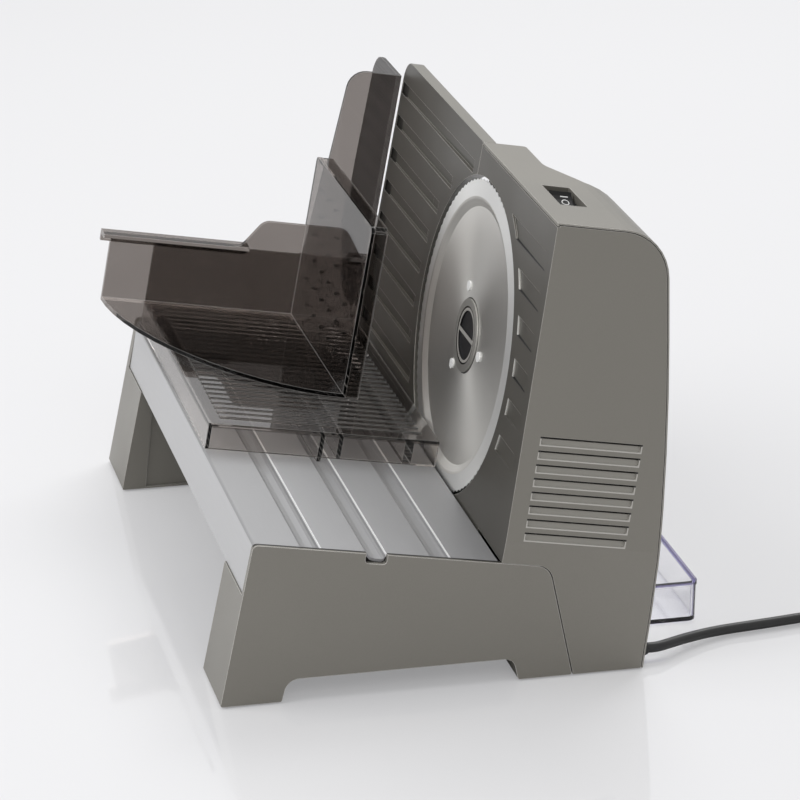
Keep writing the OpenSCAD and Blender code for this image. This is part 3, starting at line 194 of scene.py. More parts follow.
# The sheath shares its grain with every moulded, painted and rubber surface: a fine noise varies colour and height,
# and a broad one the roughness.
grain = bpy.data.node_groups.new("moulded_grain", "ShaderNodeTree")
for name, kind in (("Color", "NodeSocketColor"), ("Other Color", "NodeSocketColor"), ("Scale", "NodeSocketFloat"),
                   ("Rough Low", "NodeSocketFloat"), ("Rough High", "NodeSocketFloat")):
    grain.interface.new_socket(name, in_out="INPUT", socket_type=kind)
for name, kind in (("Color", "NodeSocketColor"), ("Roughness", "NodeSocketFloat"), ("Height", "NodeSocketFloat")):
    grain.interface.new_socket(name, in_out="OUTPUT", socket_type=kind)
g = grain.nodes
g_in, g_out = g.new("NodeGroupInput"), g.new("NodeGroupOutput")
g_place = g.new("ShaderNodeTexCoord")
g_fine = g.new("ShaderNodeTexNoise")
g_fine.inputs["Detail"].default_value = 3
g_cloud = g.new("ShaderNodeTexNoise")
g_cloud.inputs["Scale"].default_value = 14
g_cloud.inputs["Detail"].default_value = 2
g_mix = g.new("ShaderNodeMix")
g_mix.data_type = "RGBA"
g_rough = g.new("ShaderNodeMapRange")
grain.links.new(g_place.outputs["Object"], g_fine.inputs["Vector"])
grain.links.new(g_place.outputs["Object"], g_cloud.inputs["Vector"])
grain.links.new(g_in.outputs["Scale"], g_fine.inputs["Scale"])
grain.links.new(g_fine.outputs["Fac"], g_mix.inputs["Factor"])
grain.links.new(g_in.outputs["Color"], g_mix.inputs["A"])
grain.links.new(g_in.outputs["Other Color"], g_mix.inputs["B"])
grain.links.new(g_cloud.outputs["Fac"], g_rough.inputs["Value"])
g_rough.inputs["From Min"].default_value = 0.3
g_rough.inputs["From Max"].default_value = 0.7
grain.links.new(g_in.outputs["Rough Low"], g_rough.inputs["To Min"])
grain.links.new(g_in.outputs["Rough High"], g_rough.inputs["To Max"])
grain.links.new(g_mix.outputs["Result"], g_out.inputs["Color"])
grain.links.new(g_rough.outputs["Result"], g_out.inputs["Roughness"])
grain.links.new(g_fine.outputs["Fac"], g_out.inputs["Height"])


def grained(name, color, other, scale, rough, height=0.1, metallic=0.0, coat=0.0):
    """A finish between two colours and two roughnesses, with a fine grain of the given height."""
    mat = bpy.data.materials.new(name)
    mat.use_nodes = True
    tree = mat.node_tree
    shader = tree.nodes["Principled BSDF"]
    shader.inputs["Metallic"].default_value = metallic
    shader.inputs["Coat Weight"].default_value = coat
    shader.inputs["Coat Roughness"].default_value = 0.18
    body = tree.nodes.new("ShaderNodeGroup")
    body.node_tree = grain
    body.inputs["Color"].default_value = (*color, 1)
    body.inputs["Other Color"].default_value = (*other, 1)
    body.inputs["Scale"].default_value = scale
    body.inputs["Rough Low"].default_value, body.inputs["Rough High"].default_value = rough
    bump = tree.nodes.new("ShaderNodeBump")
    bump.inputs["Strength"].default_value = height
    bump.inputs["Distance"].default_value = 0.0002
    tree.links.new(body.outputs["Color"], shader.inputs["Base Color"])
    tree.links.new(body.outputs["Roughness"], shader.inputs["Roughness"])
    tree.links.new(body.outputs["Height"], bump.inputs["Height"])
    tree.links.new(bump.outputs["Normal"], shader.inputs["Normal"])
    return mat


def dress(node, mat):
    """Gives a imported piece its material."""
    nodes[node].data.materials.clear()
    nodes[node].data.materials.append(mat)


cord_sheath = grained("cord_sheath", (0.012, 0.012, 0.012), (0.02, 0.02, 0.02), 900, (0.34, 0.48))
cord_curve.materials.append(cord_sheath)
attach(mains_cord, "base")
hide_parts("cord_lead", "cord_coil")

# Cord gland
# Short black rubber collar, moulded over the lead where it leaves the housing.
# Its neck sits in a hole in the rear shell, and a low ridge runs round it.


def lathe(name, outline, place, mat, sides=48):
    """A turned piece along +X: outline holds (x, r) pairs in millimetres."""
    shape = bmesh.new()
    rings = [[shape.verts.new((x/1000, r/1000*cos(2*pi*k/sides), r/1000*sin(2*pi*k/sides)))
              for k in range(sides)] for x, r in outline]
    for a, b in zip(rings, rings[1:]):
        for k in range(sides):
            shape.faces.new((a[k], a[(k + 1) % sides], b[(k + 1) % sides], b[k]))
    shape.faces.new(rings[0][::-1])
    shape.faces.new(rings[-1])
    bmesh.ops.recalc_face_normals(shape, faces=shape.faces)
    mesh = bpy.data.meshes.new(name)
    shape.to_mesh(mesh)
    shape.free()
    mesh.materials.append(mat)
    mesh.shade_smooth()
    piece = bpy.data.objects.new(name, mesh)
    piece.location = place
    scene.collection.objects.link(piece)
    return piece


gland_mat = grained("gland_rubber", (0.014, 0.014, 0.014), (0.024, 0.024, 0.024), 700, (0.5, 0.62), 0.2)
gland_low, gland_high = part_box("cord_gland")
gland_len = (gland_high.x - gland_low.x)*1000
gland_outline = [(0, 3.9), (4, 3.9), (4.1, 4.2), (5, 4.2), (5.3, 3.9), (6.1, 3.85), (6.4, 4), (gland_len - 0.5, 3.5),
                 (gland_len, 3.2)]
gland_y, gland_z = machine_point(*lead_points[0]).yz
gland = lathe("cord_gland_sleeve", gland_outline, Vector((gland_low.x, gland_y, gland_z)), gland_mat)
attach(gland, "base")
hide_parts("cord_gland")

# Plug and strap
# Flat two-pin plug of black plastic, moulded on the cord's end, with plated pins.
# A thin woven strap, closed on itself, holds the coil together.
plug_mat = grained("plug_plastic", (0.014, 0.014, 0.015), (0.022, 0.022, 0.022), 500, (0.38, 0.5))
dress("plug_body", plug_mat)
plated = grained("plated_pin", (0.62, 0.62, 0.60), (0.70, 0.70, 0.68), 300, (0.18, 0.3), 0.02, metallic=1.0)
dress("plug_pins", plated)
strap_mat = grained("strap_weave", (0.02, 0.02, 0.021), (0.05, 0.05, 0.05), 2600, (0.7, 0.85), 0.6)
dress("cord_tie", strap_mat)

# End supports and feet
# Hollow mouldings in warm grey metallic paint: an end wall, a leg at each side and an arch between them. The paint
# gets a painted highlight along the edges, and a painted shadow in the gap behind the near rim. Rubber pads are glued
# under the legs.
# Painted highlight: a mask along the edges, from the rounded-edge normal, brightens the base colour there.
edges = bpy.data.node_groups.new("painted_edge_highlights", "ShaderNodeTree")
edges.interface.new_socket("Mask", in_out="OUTPUT", socket_type="NodeSocketFloat")
edges.interface.new_socket("Normal", in_out="OUTPUT", socket_type="NodeSocketVector")
e = edges.nodes
e_out, e_place = e.new("NodeGroupOutput"), e.new("ShaderNodeNewGeometry")
e_round = e.new("ShaderNodeBevel")
e_round.samples = 6
e_round.inputs["Radius"].default_value = 0.0006
e_turn = e.new("ShaderNodeVectorMath")
e_turn.operation = "DOT_PRODUCT"
e_mask = e.new("ShaderNodeMapRange")
e_mask.inputs["From Min"].default_value = 0.995
e_mask.inputs["From Max"].default_value = 0.86
edges.links.new(e_round.outputs["Normal"], e_turn.inputs[0])
edges.links.new(e_place.outputs["Normal"], e_turn.inputs[1])
edges.links.new(e_turn.outputs["Value"], e_mask.inputs["Value"])
edges.links.new(e_mask.outputs["Result"], e_out.inputs["Mask"])
edges.links.new(e_round.outputs["Normal"], e_out.inputs["Normal"])


def overlay(mat, mask, color):
    """Lays a colour over a material where the mask is 1."""
    tree = mat.node_tree
    shader = tree.nodes["Principled BSDF"]
    below = shader.inputs["Base Color"].links[0].from_socket
    mix = tree.nodes.new("ShaderNodeMix")
    mix.data_type = "RGBA"
    mix.inputs["B"].default_value = (*color, 1)
    tree.links.new(mask, mix.inputs["Factor"])
    tree.links.new(below, mix.inputs["A"])
    tree.links.new(mix.outputs["Result"], shader.inputs["Base Color"])


def edged(mat, color):
    """Rounds a material's edges and paints a highlight colour along them."""
    tree = mat.node_tree
    edge_light = tree.nodes.new("ShaderNodeGroup")
    edge_light.node_tree = edges
    overlay(mat, edge_light.outputs["Mask"], color)
    tree.links.new(edge_light.outputs["Normal"], tree.nodes["Bump"].inputs["Normal"])


def painted(name, color, other):
    """Satin metallic paint."""
    return grained(name, color, other, 2400, (0.36, 0.46), 0.05, metallic=0.4, coat=0.12)


table_tilt, table_height = radians(9.5), 67
slope_right = Vector((cos(table_tilt), 0, -sin(table_tilt)))
slope_up = Vector((sin(table_tilt), 0, cos(table_tilt)))
blade_along, blade_height = 134, 77.5
places = bpy.data.node_groups.new("slope_places", "ShaderNodeTree")
for name in ("Across", "Along", "Height", "From Blade"):
    places.interface.new_socket(name, in_out="OUTPUT", socket_type="NodeSocketFloat")
p = places.nodes
p_out, p_place = p.new("NodeGroupOutput"), p.new("ShaderNodeTexCoord")
p_start = p.new("ShaderNodeVectorMath")
p_start.operation = "SUBTRACT"
p_start.inputs[1].default_value = machine_point(0, 0, table_height)
p_flat = p.new("ShaderNodeVectorMath")
p_flat.operation = "SCALE"
p_flat.inputs["Scale"].default_value = 1000
places.links.new(p_place.outputs["Object"], p_start.inputs[0])
places.links.new(p_start.outputs["Vector"], p_flat.inputs[0])
p_disc = p.new("ShaderNodeCombineXYZ")
for name, axis in (("Across", slope_right), ("Along", (0, 1, 0)), ("Height", slope_up)):
    p_dot = p.new("ShaderNodeVectorMath")
    p_dot.operation = "DOT_PRODUCT"
    p_dot.inputs[1].default_value = axis
    places.links.new(p_flat.outputs["Vector"], p_dot.inputs[0])
    places.links.new(p_dot.outputs["Value"], p_out.inputs[name])
    if name != "Across":
        places.links.new(p_dot.outputs["Value"], p_disc.inputs["X" if name == "Along" else "Y"])
p_middle = p.new("ShaderNodeVectorMath")
p_middle.operation = "DISTANCE"
p_middle.inputs[1].default_value = (blade_along, blade_height, 0)
places.links.new(p_disc.outputs["Vector"], p_middle.inputs[0])
places.links.new(p_middle.outputs["Value"], p_out.inputs["From Blade"])


def placed(mat):
    """Millimetres across, along and square to the table, and from the blade's axis."""
    found = mat.node_tree.nodes.new("ShaderNodeGroup")
    found.node_tree = places
    return found.outputs


def between(mat, value, low, high):
    """A mask: 1 where the value lies in the range."""
    test = mat.node_tree.nodes.new("ShaderNodeMath")
    test.operation = "COMPARE"
    test.inputs[1].default_value = (low + high)/2
    test.inputs[2].default_value = (high - low)/2
    mat.node_tree.links.new(value, test.inputs[0])
    return test.outputs["Value"]


def joined(mat, kind, first, *others):
    """One mask from several."""
    for other in others:
        step = mat.node_tree.nodes.new("ShaderNodeMath")
        step.operation = kind
        mat.node_tree.links.new(first, step.inputs[0])
        mat.node_tree.links.new(other, step.inputs[1])
        first = step.outputs["Value"]
    return first


def all_of(mat, *masks):
    return joined(mat, "MULTIPLY", *masks)


def any_of(mat, *masks):
    return joined(mat, "MAXIMUM", *masks)


def within(mat, where, **ranges):
    """Where a place lies in every range that is given, in millimetres."""
    return all_of(mat, *[between(mat, where[name.replace("_", " ")], *ends) for name, ends in ranges.items()])


def facing(mat, direction, low):
    """Where the surface faces a direction."""
    tree = mat.node_tree
    place = tree.nodes.new("ShaderNodeTexCoord")
    turn = tree.nodes.new("ShaderNodeVectorMath")
    turn.operation = "DOT_PRODUCT"
    turn.inputs[1].default_value = direction
    tree.links.new(place.outputs["Normal"], turn.inputs[0])
    return between(mat, turn.outputs["Value"], low, 1.01)


case_grey, case_grey_light = (0.195, 0.184, 0.160), (0.225, 0.214, 0.188)
# Painted highlight colours for the edges, brightest on the near rim, and a painted shadow for the gap behind that
# rim.
case_edge_highlight, rim_edge_highlight, gap_shadow = (0.58, 0.56, 0.52), (0.72, 0.70, 0.66), (0.02, 0.019, 0.017)
case_paint = painted("case_paint", case_grey, case_grey_light)
edged(case_paint, case_edge_highlight)
dress("far_support", case_paint)
near_paint = painted("near_paint", case_grey, case_grey_light)
edged(near_paint, rim_edge_highlight)
# Painted shadow: up-facing faces in the gap just behind the near rim are darkened.
behind_rim = all_of(near_paint, within(near_paint, placed(near_paint), Along=(1.3, 3.1), Height=(-4, 2)),
                    facing(near_paint, slope_up, 0.5))
overlay(near_paint, behind_rim, gap_shadow)
dress("near_support", near_paint)
pad_rubber = grained("pad_rubber", (0.02, 0.02, 0.02), (0.03, 0.03, 0.03), 600, (0.7, 0.85), 0.3)
dress("rubber_feet", pad_rubber)

# Table
# Satin aluminium sheet with three pressed grooves and a skirt folded down at its free side, laid on the end supports.
# Its fine brushing runs along the table. The skirt is painted paler, as if lit from its side, and the far lip of each
# groove gets a painted highlight.
brushing = bpy.data.node_groups.new("brushed_lines", "ShaderNodeTree")
for name, kind in (("Stretch", "NodeSocketVector"), ("Rough Low", "NodeSocketFloat"),
                   ("Rough High", "NodeSocketFloat"), ("Dark", "NodeSocketColor"), ("Light", "NodeSocketColor")):
    brushing.interface.new_socket(name, in_out="INPUT", socket_type=kind)
for name, kind in (("Color", "NodeSocketColor"), ("Roughness", "NodeSocketFloat"), ("Height", "NodeSocketFloat")):
    brushing.interface.new_socket(name, in_out="OUTPUT", socket_type=kind)
b = brushing.nodes
b_in, b_out = b.new("NodeGroupInput"), b.new("NodeGroupOutput")
b_place = b.new("ShaderNodeTexCoord")
b_scale = b.new("ShaderNodeVectorMath")
b_scale.operation = "MULTIPLY"
b_noise = b.new("ShaderNodeTexNoise")
b_noise.inputs["Scale"].default_value = 1
b_noise.inputs["Detail"].default_value = 4
b_rough = b.new("ShaderNodeMapRange")
b_rough.inputs["From Min"].default_value = 0.25
b_rough.inputs["From Max"].default_value = 0.75
b_mix = b.new("ShaderNodeMix")
b_mix.data_type = "RGBA"
brushing.links.new(b_place.outputs["Object"], b_scale.inputs[0])
brushing.links.new(b_in.outputs["Stretch"], b_scale.inputs[1])
brushing.links.new(b_scale.outputs["Vector"], b_noise.inputs["Vector"])
brushing.links.new(b_noise.outputs["Fac"], b_rough.inputs["Value"])
brushing.links.new(b_in.outputs["Rough Low"], b_rough.inputs["To Min"])
brushing.links.new(b_in.outputs["Rough High"], b_rough.inputs["To Max"])
brushing.links.new(b_noise.outputs["Fac"], b_mix.inputs["Factor"])
brushing.links.new(b_in.outputs["Dark"], b_mix.inputs["A"])
brushing.links.new(b_in.outputs["Light"], b_mix.inputs["B"])
brushing.links.new(b_mix.outputs["Result"], b_out.inputs["Color"])
brushing.links.new(b_rough.outputs["Result"], b_out.inputs["Roughness"])
brushing.links.new(b_noise.outputs["Fac"], b_out.inputs["Height"])


def brushed(name, dark, light, stretch, rough, height, metallic):
    """Metal with fine lines along the axis of least stretch."""
    mat = bpy.data.materials.new(name)
    mat.use_nodes = True
    tree = mat.node_tree
    shader = tree.nodes["Principled BSDF"]
    shader.inputs["Metallic"].default_value = metallic
    lines = tree.nodes.new("ShaderNodeGroup")
    lines.node_tree = brushing
    lines.inputs["Stretch"].default_value = stretch
    lines.inputs["Rough Low"].default_value, lines.inputs["Rough High"].default_value = rough
    lines.inputs["Dark"].default_value = (*dark, 1)
    lines.inputs["Light"].default_value = (*light, 1)
    bump = tree.nodes.new("ShaderNodeBump")
    bump.inputs["Strength"].default_value = height
    bump.inputs["Distance"].default_value = 0.0001
    tree.links.new(lines.outputs["Color"], shader.inputs["Base Color"])
    tree.links.new(lines.outputs["Roughness"], shader.inputs["Roughness"])
    tree.links.new(lines.outputs["Height"], bump.inputs["Height"])
    tree.links.new(bump.outputs["Normal"], shader.inputs["Normal"])
    return mat


def row_place(mat, value, pitch, start):
    """Where a value lies in rows that repeat: 0 at the start of each row, 1 at its end."""
    tree = mat.node_tree
    rows = tree.nodes.new("ShaderNodeMath")
    rows.operation = "MULTIPLY_ADD"
    rows.inputs[1].default_value, rows.inputs[2].default_value = 1/pitch, -start/pitch
    part = tree.nodes.new("ShaderNodeMath")
    part.operation = "FRACT"
    tree.links.new(value, rows.inputs[0])
    tree.links.new(rows.outputs["Value"], part.inputs[0])
    return part.outputs["Value"]


groove_pitch, groove_start = 34.4, -164.6
skirt_lit_grey, groove_highlight = (0.52, 0.52, 0.525), (0.90, 0.90, 0.90)
table_metal = brushed("table_metal", (0.30, 0.30, 0.305), (0.37, 0.37, 0.375), (2500, 60, 2500), (0.46, 0.58),
                      height=0.08, metallic=0.45)
where = placed(table_metal)
# Painted light: the skirt's colour is lifted, as if lit from its side.
overlay(table_metal, within(table_metal, where, Height=(-40, -0.9), Across=(-140, -126)), skirt_lit_grey)
groove_place = row_place(table_metal, where["Across"], groove_pitch, groove_start)
# Painted highlight: a thin bright line along the far lip of each groove.
groove_lip = all_of(table_metal, between(table_metal, groove_place, 0.005, 0.019),
                    within(table_metal, where, Across=(-120, 0)))
overlay(table_metal, groove_lip, groove_highlight)
dress("table_sheet", table_metal)

# Chassis and screws
# Channel of painted steel sheet under the table, which ties the end supports together.
# Plated pan-head screws hold it, and close the housing from behind.
chassis_paint = grained("chassis_paint", (0.05, 0.048, 0.045), (0.065, 0.062, 0.058), 900, (0.5, 0.6))
screw_metal = grained("screw_metal", (0.48, 0.48, 0.48), (0.56, 0.56, 0.56), 800, (0.28, 0.4), 0.05, metallic=1.0)
dress("chassis", chassis_paint)
for name in ("chassis_screws", "housing_screws"):
    dress(name, screw_metal)

# Housing
# Two moulded shells in warm grey paint, and a dark plate that closes them underneath. The blade-side face is darker
# paint; its shallow recesses get painted shadow lines along their ledges and painted highlights on the steps next to
# the blade. The vent slots get painted light.
# The blade-side face's darker paint, which also serves as painted shade on the lower ledges; a painted edge
# highlight; a painted highlight for the steps.
dark_face_and_shade, face_edge_highlight, step_highlight = (0.085, 0.080, 0.069), (0.50, 0.485, 0.45), (0.85, 0.84, 0.80)
# Painted light for the vent slots' floors, painted highlights for their lips and ends, and black for painted shadow
# lines.
slot_lit_grey, slot_highlight, shadow_black = (0.30, 0.287, 0.256), (0.48, 0.465, 0.43), (0.012, 0.011, 0.010)
recess_pitch, recess_start, end_lean = 21.1, 45.5, 0.0962
slot_pitch, slot_start, slot_left, slot_right, slot_wall = 7.25, 13.3, 9.3, 64.7, 0.55
face_paint = painted("face_paint", case_grey, case_grey_light)
where = placed(face_paint)
at_face = within(face_paint, where, Across=(-0.5, 1.5))
overlay(face_paint, all_of(face_paint, at_face, facing(face_paint, -slope_right, 0.5)), dark_face_and_shade)
edged(face_paint, face_edge_highlight)
recess_place = row_place(face_paint, where["Height"], recess_pitch, recess_start)
from_end = face_paint.node_tree.nodes.new("ShaderNodeMath")
from_end.operation = "MULTIPLY_ADD"
from_end.inputs[1].default_value = -end_lean
face_paint.node_tree.links.new(where["Height"], from_end.inputs[0])
face_paint.node_tree.links.new(where["Along"], from_end.inputs[2])
# Painted shadow: a black line along each upper recess ledge.
ledge = all_of(face_paint, at_face, between(face_paint, recess_place, 0, 0.042),
               between(face_paint, from_end.outputs["Value"], 8, 90),
               within(face_paint, where, Height=(80, 160), From_Blade=(94.3, 170)))
overlay(face_paint, ledge, shadow_black)
# Painted highlight on the step walls next to the blade.
step_wall = within(face_paint, where, Across=(0.04, 0.8), Height=(40, 148), From_Blade=(93.9, 94.7))
overlay(face_paint, step_wall, step_highlight)
# Painted shade: the lower ledges take the dark face colour.
low_ledge = all_of(face_paint, at_face, between(face_paint, recess_place, 0, 0.06),
                   between(face_paint, from_end.outputs["Value"], 1, 90),
                   within(face_paint, where, Height=(20, 79), From_Blade=(95, 170)))
overlay(face_paint, low_ledge, dark_face_and_shade)
slot_place = row_place(face_paint, where["Height"], slot_pitch, slot_start)
at_slots = within(face_paint, where, Across=(slot_left, slot_right), Height=(13.2, 68.9), Along=(-5, 14))
# Painted light: each slot's floor is coloured lighter than the face around it.
slot_body = all_of(face_paint, at_slots, between(face_paint, slot_place, 0.09, 0.60))
overlay(face_paint, slot_body, slot_lit_grey)
# Painted highlights on each slot's lower lip and its two ends.
slot_ends = all_of(face_paint, slot_body,
                   any_of(face_paint, within(face_paint, where, Across=(slot_left, slot_left + slot_wall)),
                          within(face_paint, where, Across=(slot_right - slot_wall, slot_right))))
slot_lip = all_of(face_paint, at_slots, between(face_paint, slot_place, 0, 0.10))
overlay(face_paint, any_of(face_paint, slot_lip, slot_ends), slot_highlight)
# Painted shadow under each slot's top edge.
overlay(face_paint, all_of(face_paint, at_slots, between(face_paint, slot_place, 0.54, 0.67)), shadow_black)
dress("housing_front", face_paint)
dress("housing_rear", case_paint)
dark_moulding = grained("dark_moulding", (0.05, 0.048, 0.045), (0.062, 0.06, 0.056), 900, (0.5, 0.62), 0.15)
dress("housing_bottom", dark_moulding)

# Switch
# Dull black plastic frame, snapped into the recess of the top, and a rocker that tips on pins in it.
# The rocker has printed marks for on and off.
frame_plastic = grained("frame_plastic", (0.012, 0.012, 0.012), (0.018, 0.018, 0.018), 600, (0.5, 0.6), 0.05)
dress("switch_frame", frame_plastic)
rocker_plastic = grained("rocker_plastic", (0.010, 0.010, 0.010), (0.015, 0.015, 0.015), 600, (0.5, 0.6), 0.05)
for mat in (frame_plastic, rocker_plastic):
    mat.node_tree.nodes["Principled BSDF"].inputs["Specular IOR Level"].default_value = 0.12
where = placed(rocker_plastic)
ring_across, ring_along, mark_white = 20.8, 70, (0.7, 0.7, 0.69)
tree = rocker_plastic.node_tree
ring_at = tree.nodes.new("ShaderNodeCombineXYZ")
ring_r = tree.nodes.new("ShaderNodeVectorMath")
ring_r.operation = "DISTANCE"
ring_r.inputs[1].default_value = (ring_across, ring_along, 0)
tree.links.new(where["Across"], ring_at.inputs["X"])
tree.links.new(where["Along"], ring_at.inputs["Y"])
tree.links.new(ring_at.outputs["Vector"], ring_r.inputs[0])
mark_off = between(rocker_plastic, ring_r.outputs["Value"], 1.6, 2.15)
mark_on = within(rocker_plastic, where, Across=(18.6, 22.8), Along=(73.5, 74.1))
marks = all_of(rocker_plastic, any_of(rocker_plastic, mark_off, mark_on), facing(rocker_plastic, slope_up, 0.6))
overlay(rocker_plastic, marks, mark_white)
dress("switch_rocker", rocker_plastic)

# Blade
# Dished stainless disc, ground in circles, with a matt, paler rim and teeth. A steel ring is riveted to its middle
# with three rivets, and a dark quarter-turn lock with a finger bar holds it on the spindle.
blade_steel = bpy.data.materials.new("blade_steel")
blade_steel.use_nodes = True
tree = blade_steel.node_tree
shader = tree.nodes["Principled BSDF"]
shader.inputs["Metallic"].default_value = 0.9
shader.inputs["Anisotropic"].default_value = 0.7
where = placed(blade_steel)
rings = tree.nodes.new("ShaderNodeTexNoise")
rings.noise_dimensions = "1D"
rings.inputs["Scale"].default_value = 2.6
rings.inputs["Detail"].default_value = 3
ring_rough = tree.nodes.new("ShaderNodeMapRange")
ring_rough.inputs["To Min"].default_value = 0.34
ring_rough.inputs["To Max"].default_value = 0.48
ring_tone = tree.nodes.new("ShaderNodeMix")
ring_tone.data_type = "RGBA"
ring_tone.inputs["A"].default_value = (0.66, 0.65, 0.62, 1)
ring_tone.inputs["B"].default_value = (0.78, 0.77, 0.74, 1)
ring_bump = tree.nodes.new("ShaderNodeBump")
ring_bump.inputs["Strength"].default_value = 0.12
ring_bump.inputs["Distance"].default_value = 0.0001
tangent = tree.nodes.new("ShaderNodeTangent")
tangent.direction_type = "RADIAL"
tangent.axis = "X"
tree.links.new(where["From Blade"], rings.inputs["W"])
tree.links.new(rings.outputs["Fac"], ring_rough.inputs["Value"])
tree.links.new(ring_rough.outputs["Result"], shader.inputs["Roughness"])
tree.links.new(rings.outputs["Fac"], ring_tone.inputs["Factor"])
tree.links.new(ring_tone.outputs["Result"], shader.inputs["Base Color"])
tree.links.new(rings.outputs["Fac"], ring_bump.inputs["Height"])
tree.links.new(ring_bump.outputs["Normal"], shader.inputs["Normal"])
tree.links.new(tangent.outputs["Tangent"], shader.inputs["Tangent"])
rim_steel, hub_shade = (0.80, 0.80, 0.785), (0.06, 0.058, 0.055)
overlay(blade_steel, within(blade_steel, where, From_Blade=(75.3, 90)), rim_steel)
# Painted shade: a dark ring in the gap round the hub.
overlay(blade_steel, within(blade_steel, where, From_Blade=(19, 20.7)), hub_shade)
dress("blade", blade_steel)
hub_steel = grained("hub_steel", (0.50, 0.49, 0.46), (0.58, 0.57, 0.54), 900, (0.36, 0.48), 0.05, metallic=0.9)
ring_shade, bar_highlight_grey = (0.05, 0.048, 0.045), (0.30, 0.29, 0.27)
# Painted shade in the hollow of the hub ring.
overlay(hub_steel, within(hub_steel, placed(hub_steel), From_Blade=(14, 15.9)), ring_shade)
rivet_steel = grained("rivet_steel", (0.86, 0.86, 0.85), (0.92, 0.92, 0.91), 900, (0.4, 0.5), 0.05, metallic=0.3)
lock_plastic = grained("lock_plastic", (0.010, 0.010, 0.011), (0.016, 0.016, 0.017), 700, (0.34, 0.46), 0.1)
# Painted highlight: the lock's finger bar is coloured lighter, where light would catch it.
overlay(lock_plastic, within(lock_plastic, placed(lock_plastic), Across=(0, 2.3)), bar_highlight_grey)
dress("blade_hub", hub_steel)
dress("blade_rivets", rivet_steel)
dress("hub_lock", lock_plastic)

# Drive
# Motor, worm and worm wheel, screwed to a bracket inside the housing, and the stop plate's guide rods and pinion:
# turned steel, a sintered bronze bush, nylon wheels and a black moulded fan.
turned_steel = grained("turned_steel", (0.42, 0.42, 0.43), (0.5, 0.5, 0.51), 1200, (0.25, 0.4), 0.05, metallic=1.0)
motor_paint = grained("motor_paint", (0.11, 0.112, 0.116), (0.13, 0.132, 0.136), 900, (0.4, 0.5))
nylon = grained("wheel_nylon", (0.58, 0.53, 0.40), (0.63, 0.58, 0.45), 500, (0.45, 0.55), 0.1)
bronze = grained("bush_bronze", (0.42, 0.27, 0.10), (0.5, 0.33, 0.14), 1500, (0.4, 0.55), 0.2, metallic=1.0)
for name in ("drive_spindle", "worm", "guide_rods", "adjuster_shaft"):
    dress(name, turned_steel)
for name in ("armature", "motor_can", "motor_end_bells"):
    dress(name, motor_paint)
for name in ("worm_wheel", "adjuster_pinion"):
    dress(name, nylon)
dress("spindle_bush", bronze)
dress("fan", dark_moulding)
for name in ("motor_bracket", "slide_frame"):
    dress(name, chassis_paint)

# Stop plate and thickness knob
# Moulded plate in darker paint than the case, with shallow recesses. It slides back to set the slice, on a dark
# carrier with a rack, and a fluted dark knob at the far end drives it.
stop_paint = painted("stop_paint", (0.070, 0.066, 0.056), (0.086, 0.081, 0.070))
# Painted light: a highlight along the edges, the up-facing top coloured lighter as if lit from above, and painted
# shade on the far end walls of the recesses.
stop_edge_highlight, stop_top_lit, recess_shade = (0.56, 0.54, 0.50), (0.20, 0.19, 0.166), (0.022, 0.021, 0.018)
edged(stop_paint, stop_edge_highlight)
overlay(stop_paint, facing(stop_paint, slope_up, 0.8), stop_top_lit)
recess_ends = within(stop_paint, placed(stop_paint), Across=(0.04, 1.5), Along=(319, 329))
overlay(stop_paint, recess_ends, recess_shade)
dress("stop_plate", stop_paint)
dress("stop_carrier", dark_moulding)
knob_plastic = grained("knob_plastic", (0.03, 0.029, 0.027), (0.04, 0.038, 0.036), 900, (0.42, 0.54), 0.15)
dress("thickness_knob", knob_plastic)

# Carriage and pusher
# Clear smoked mouldings with polished faces. The carriage runs on the table and has ribs, thin paler skirts, a back
# wall and a thumb guard with a dotted grip; the pusher hooks over the wall and has spikes that grip the food.


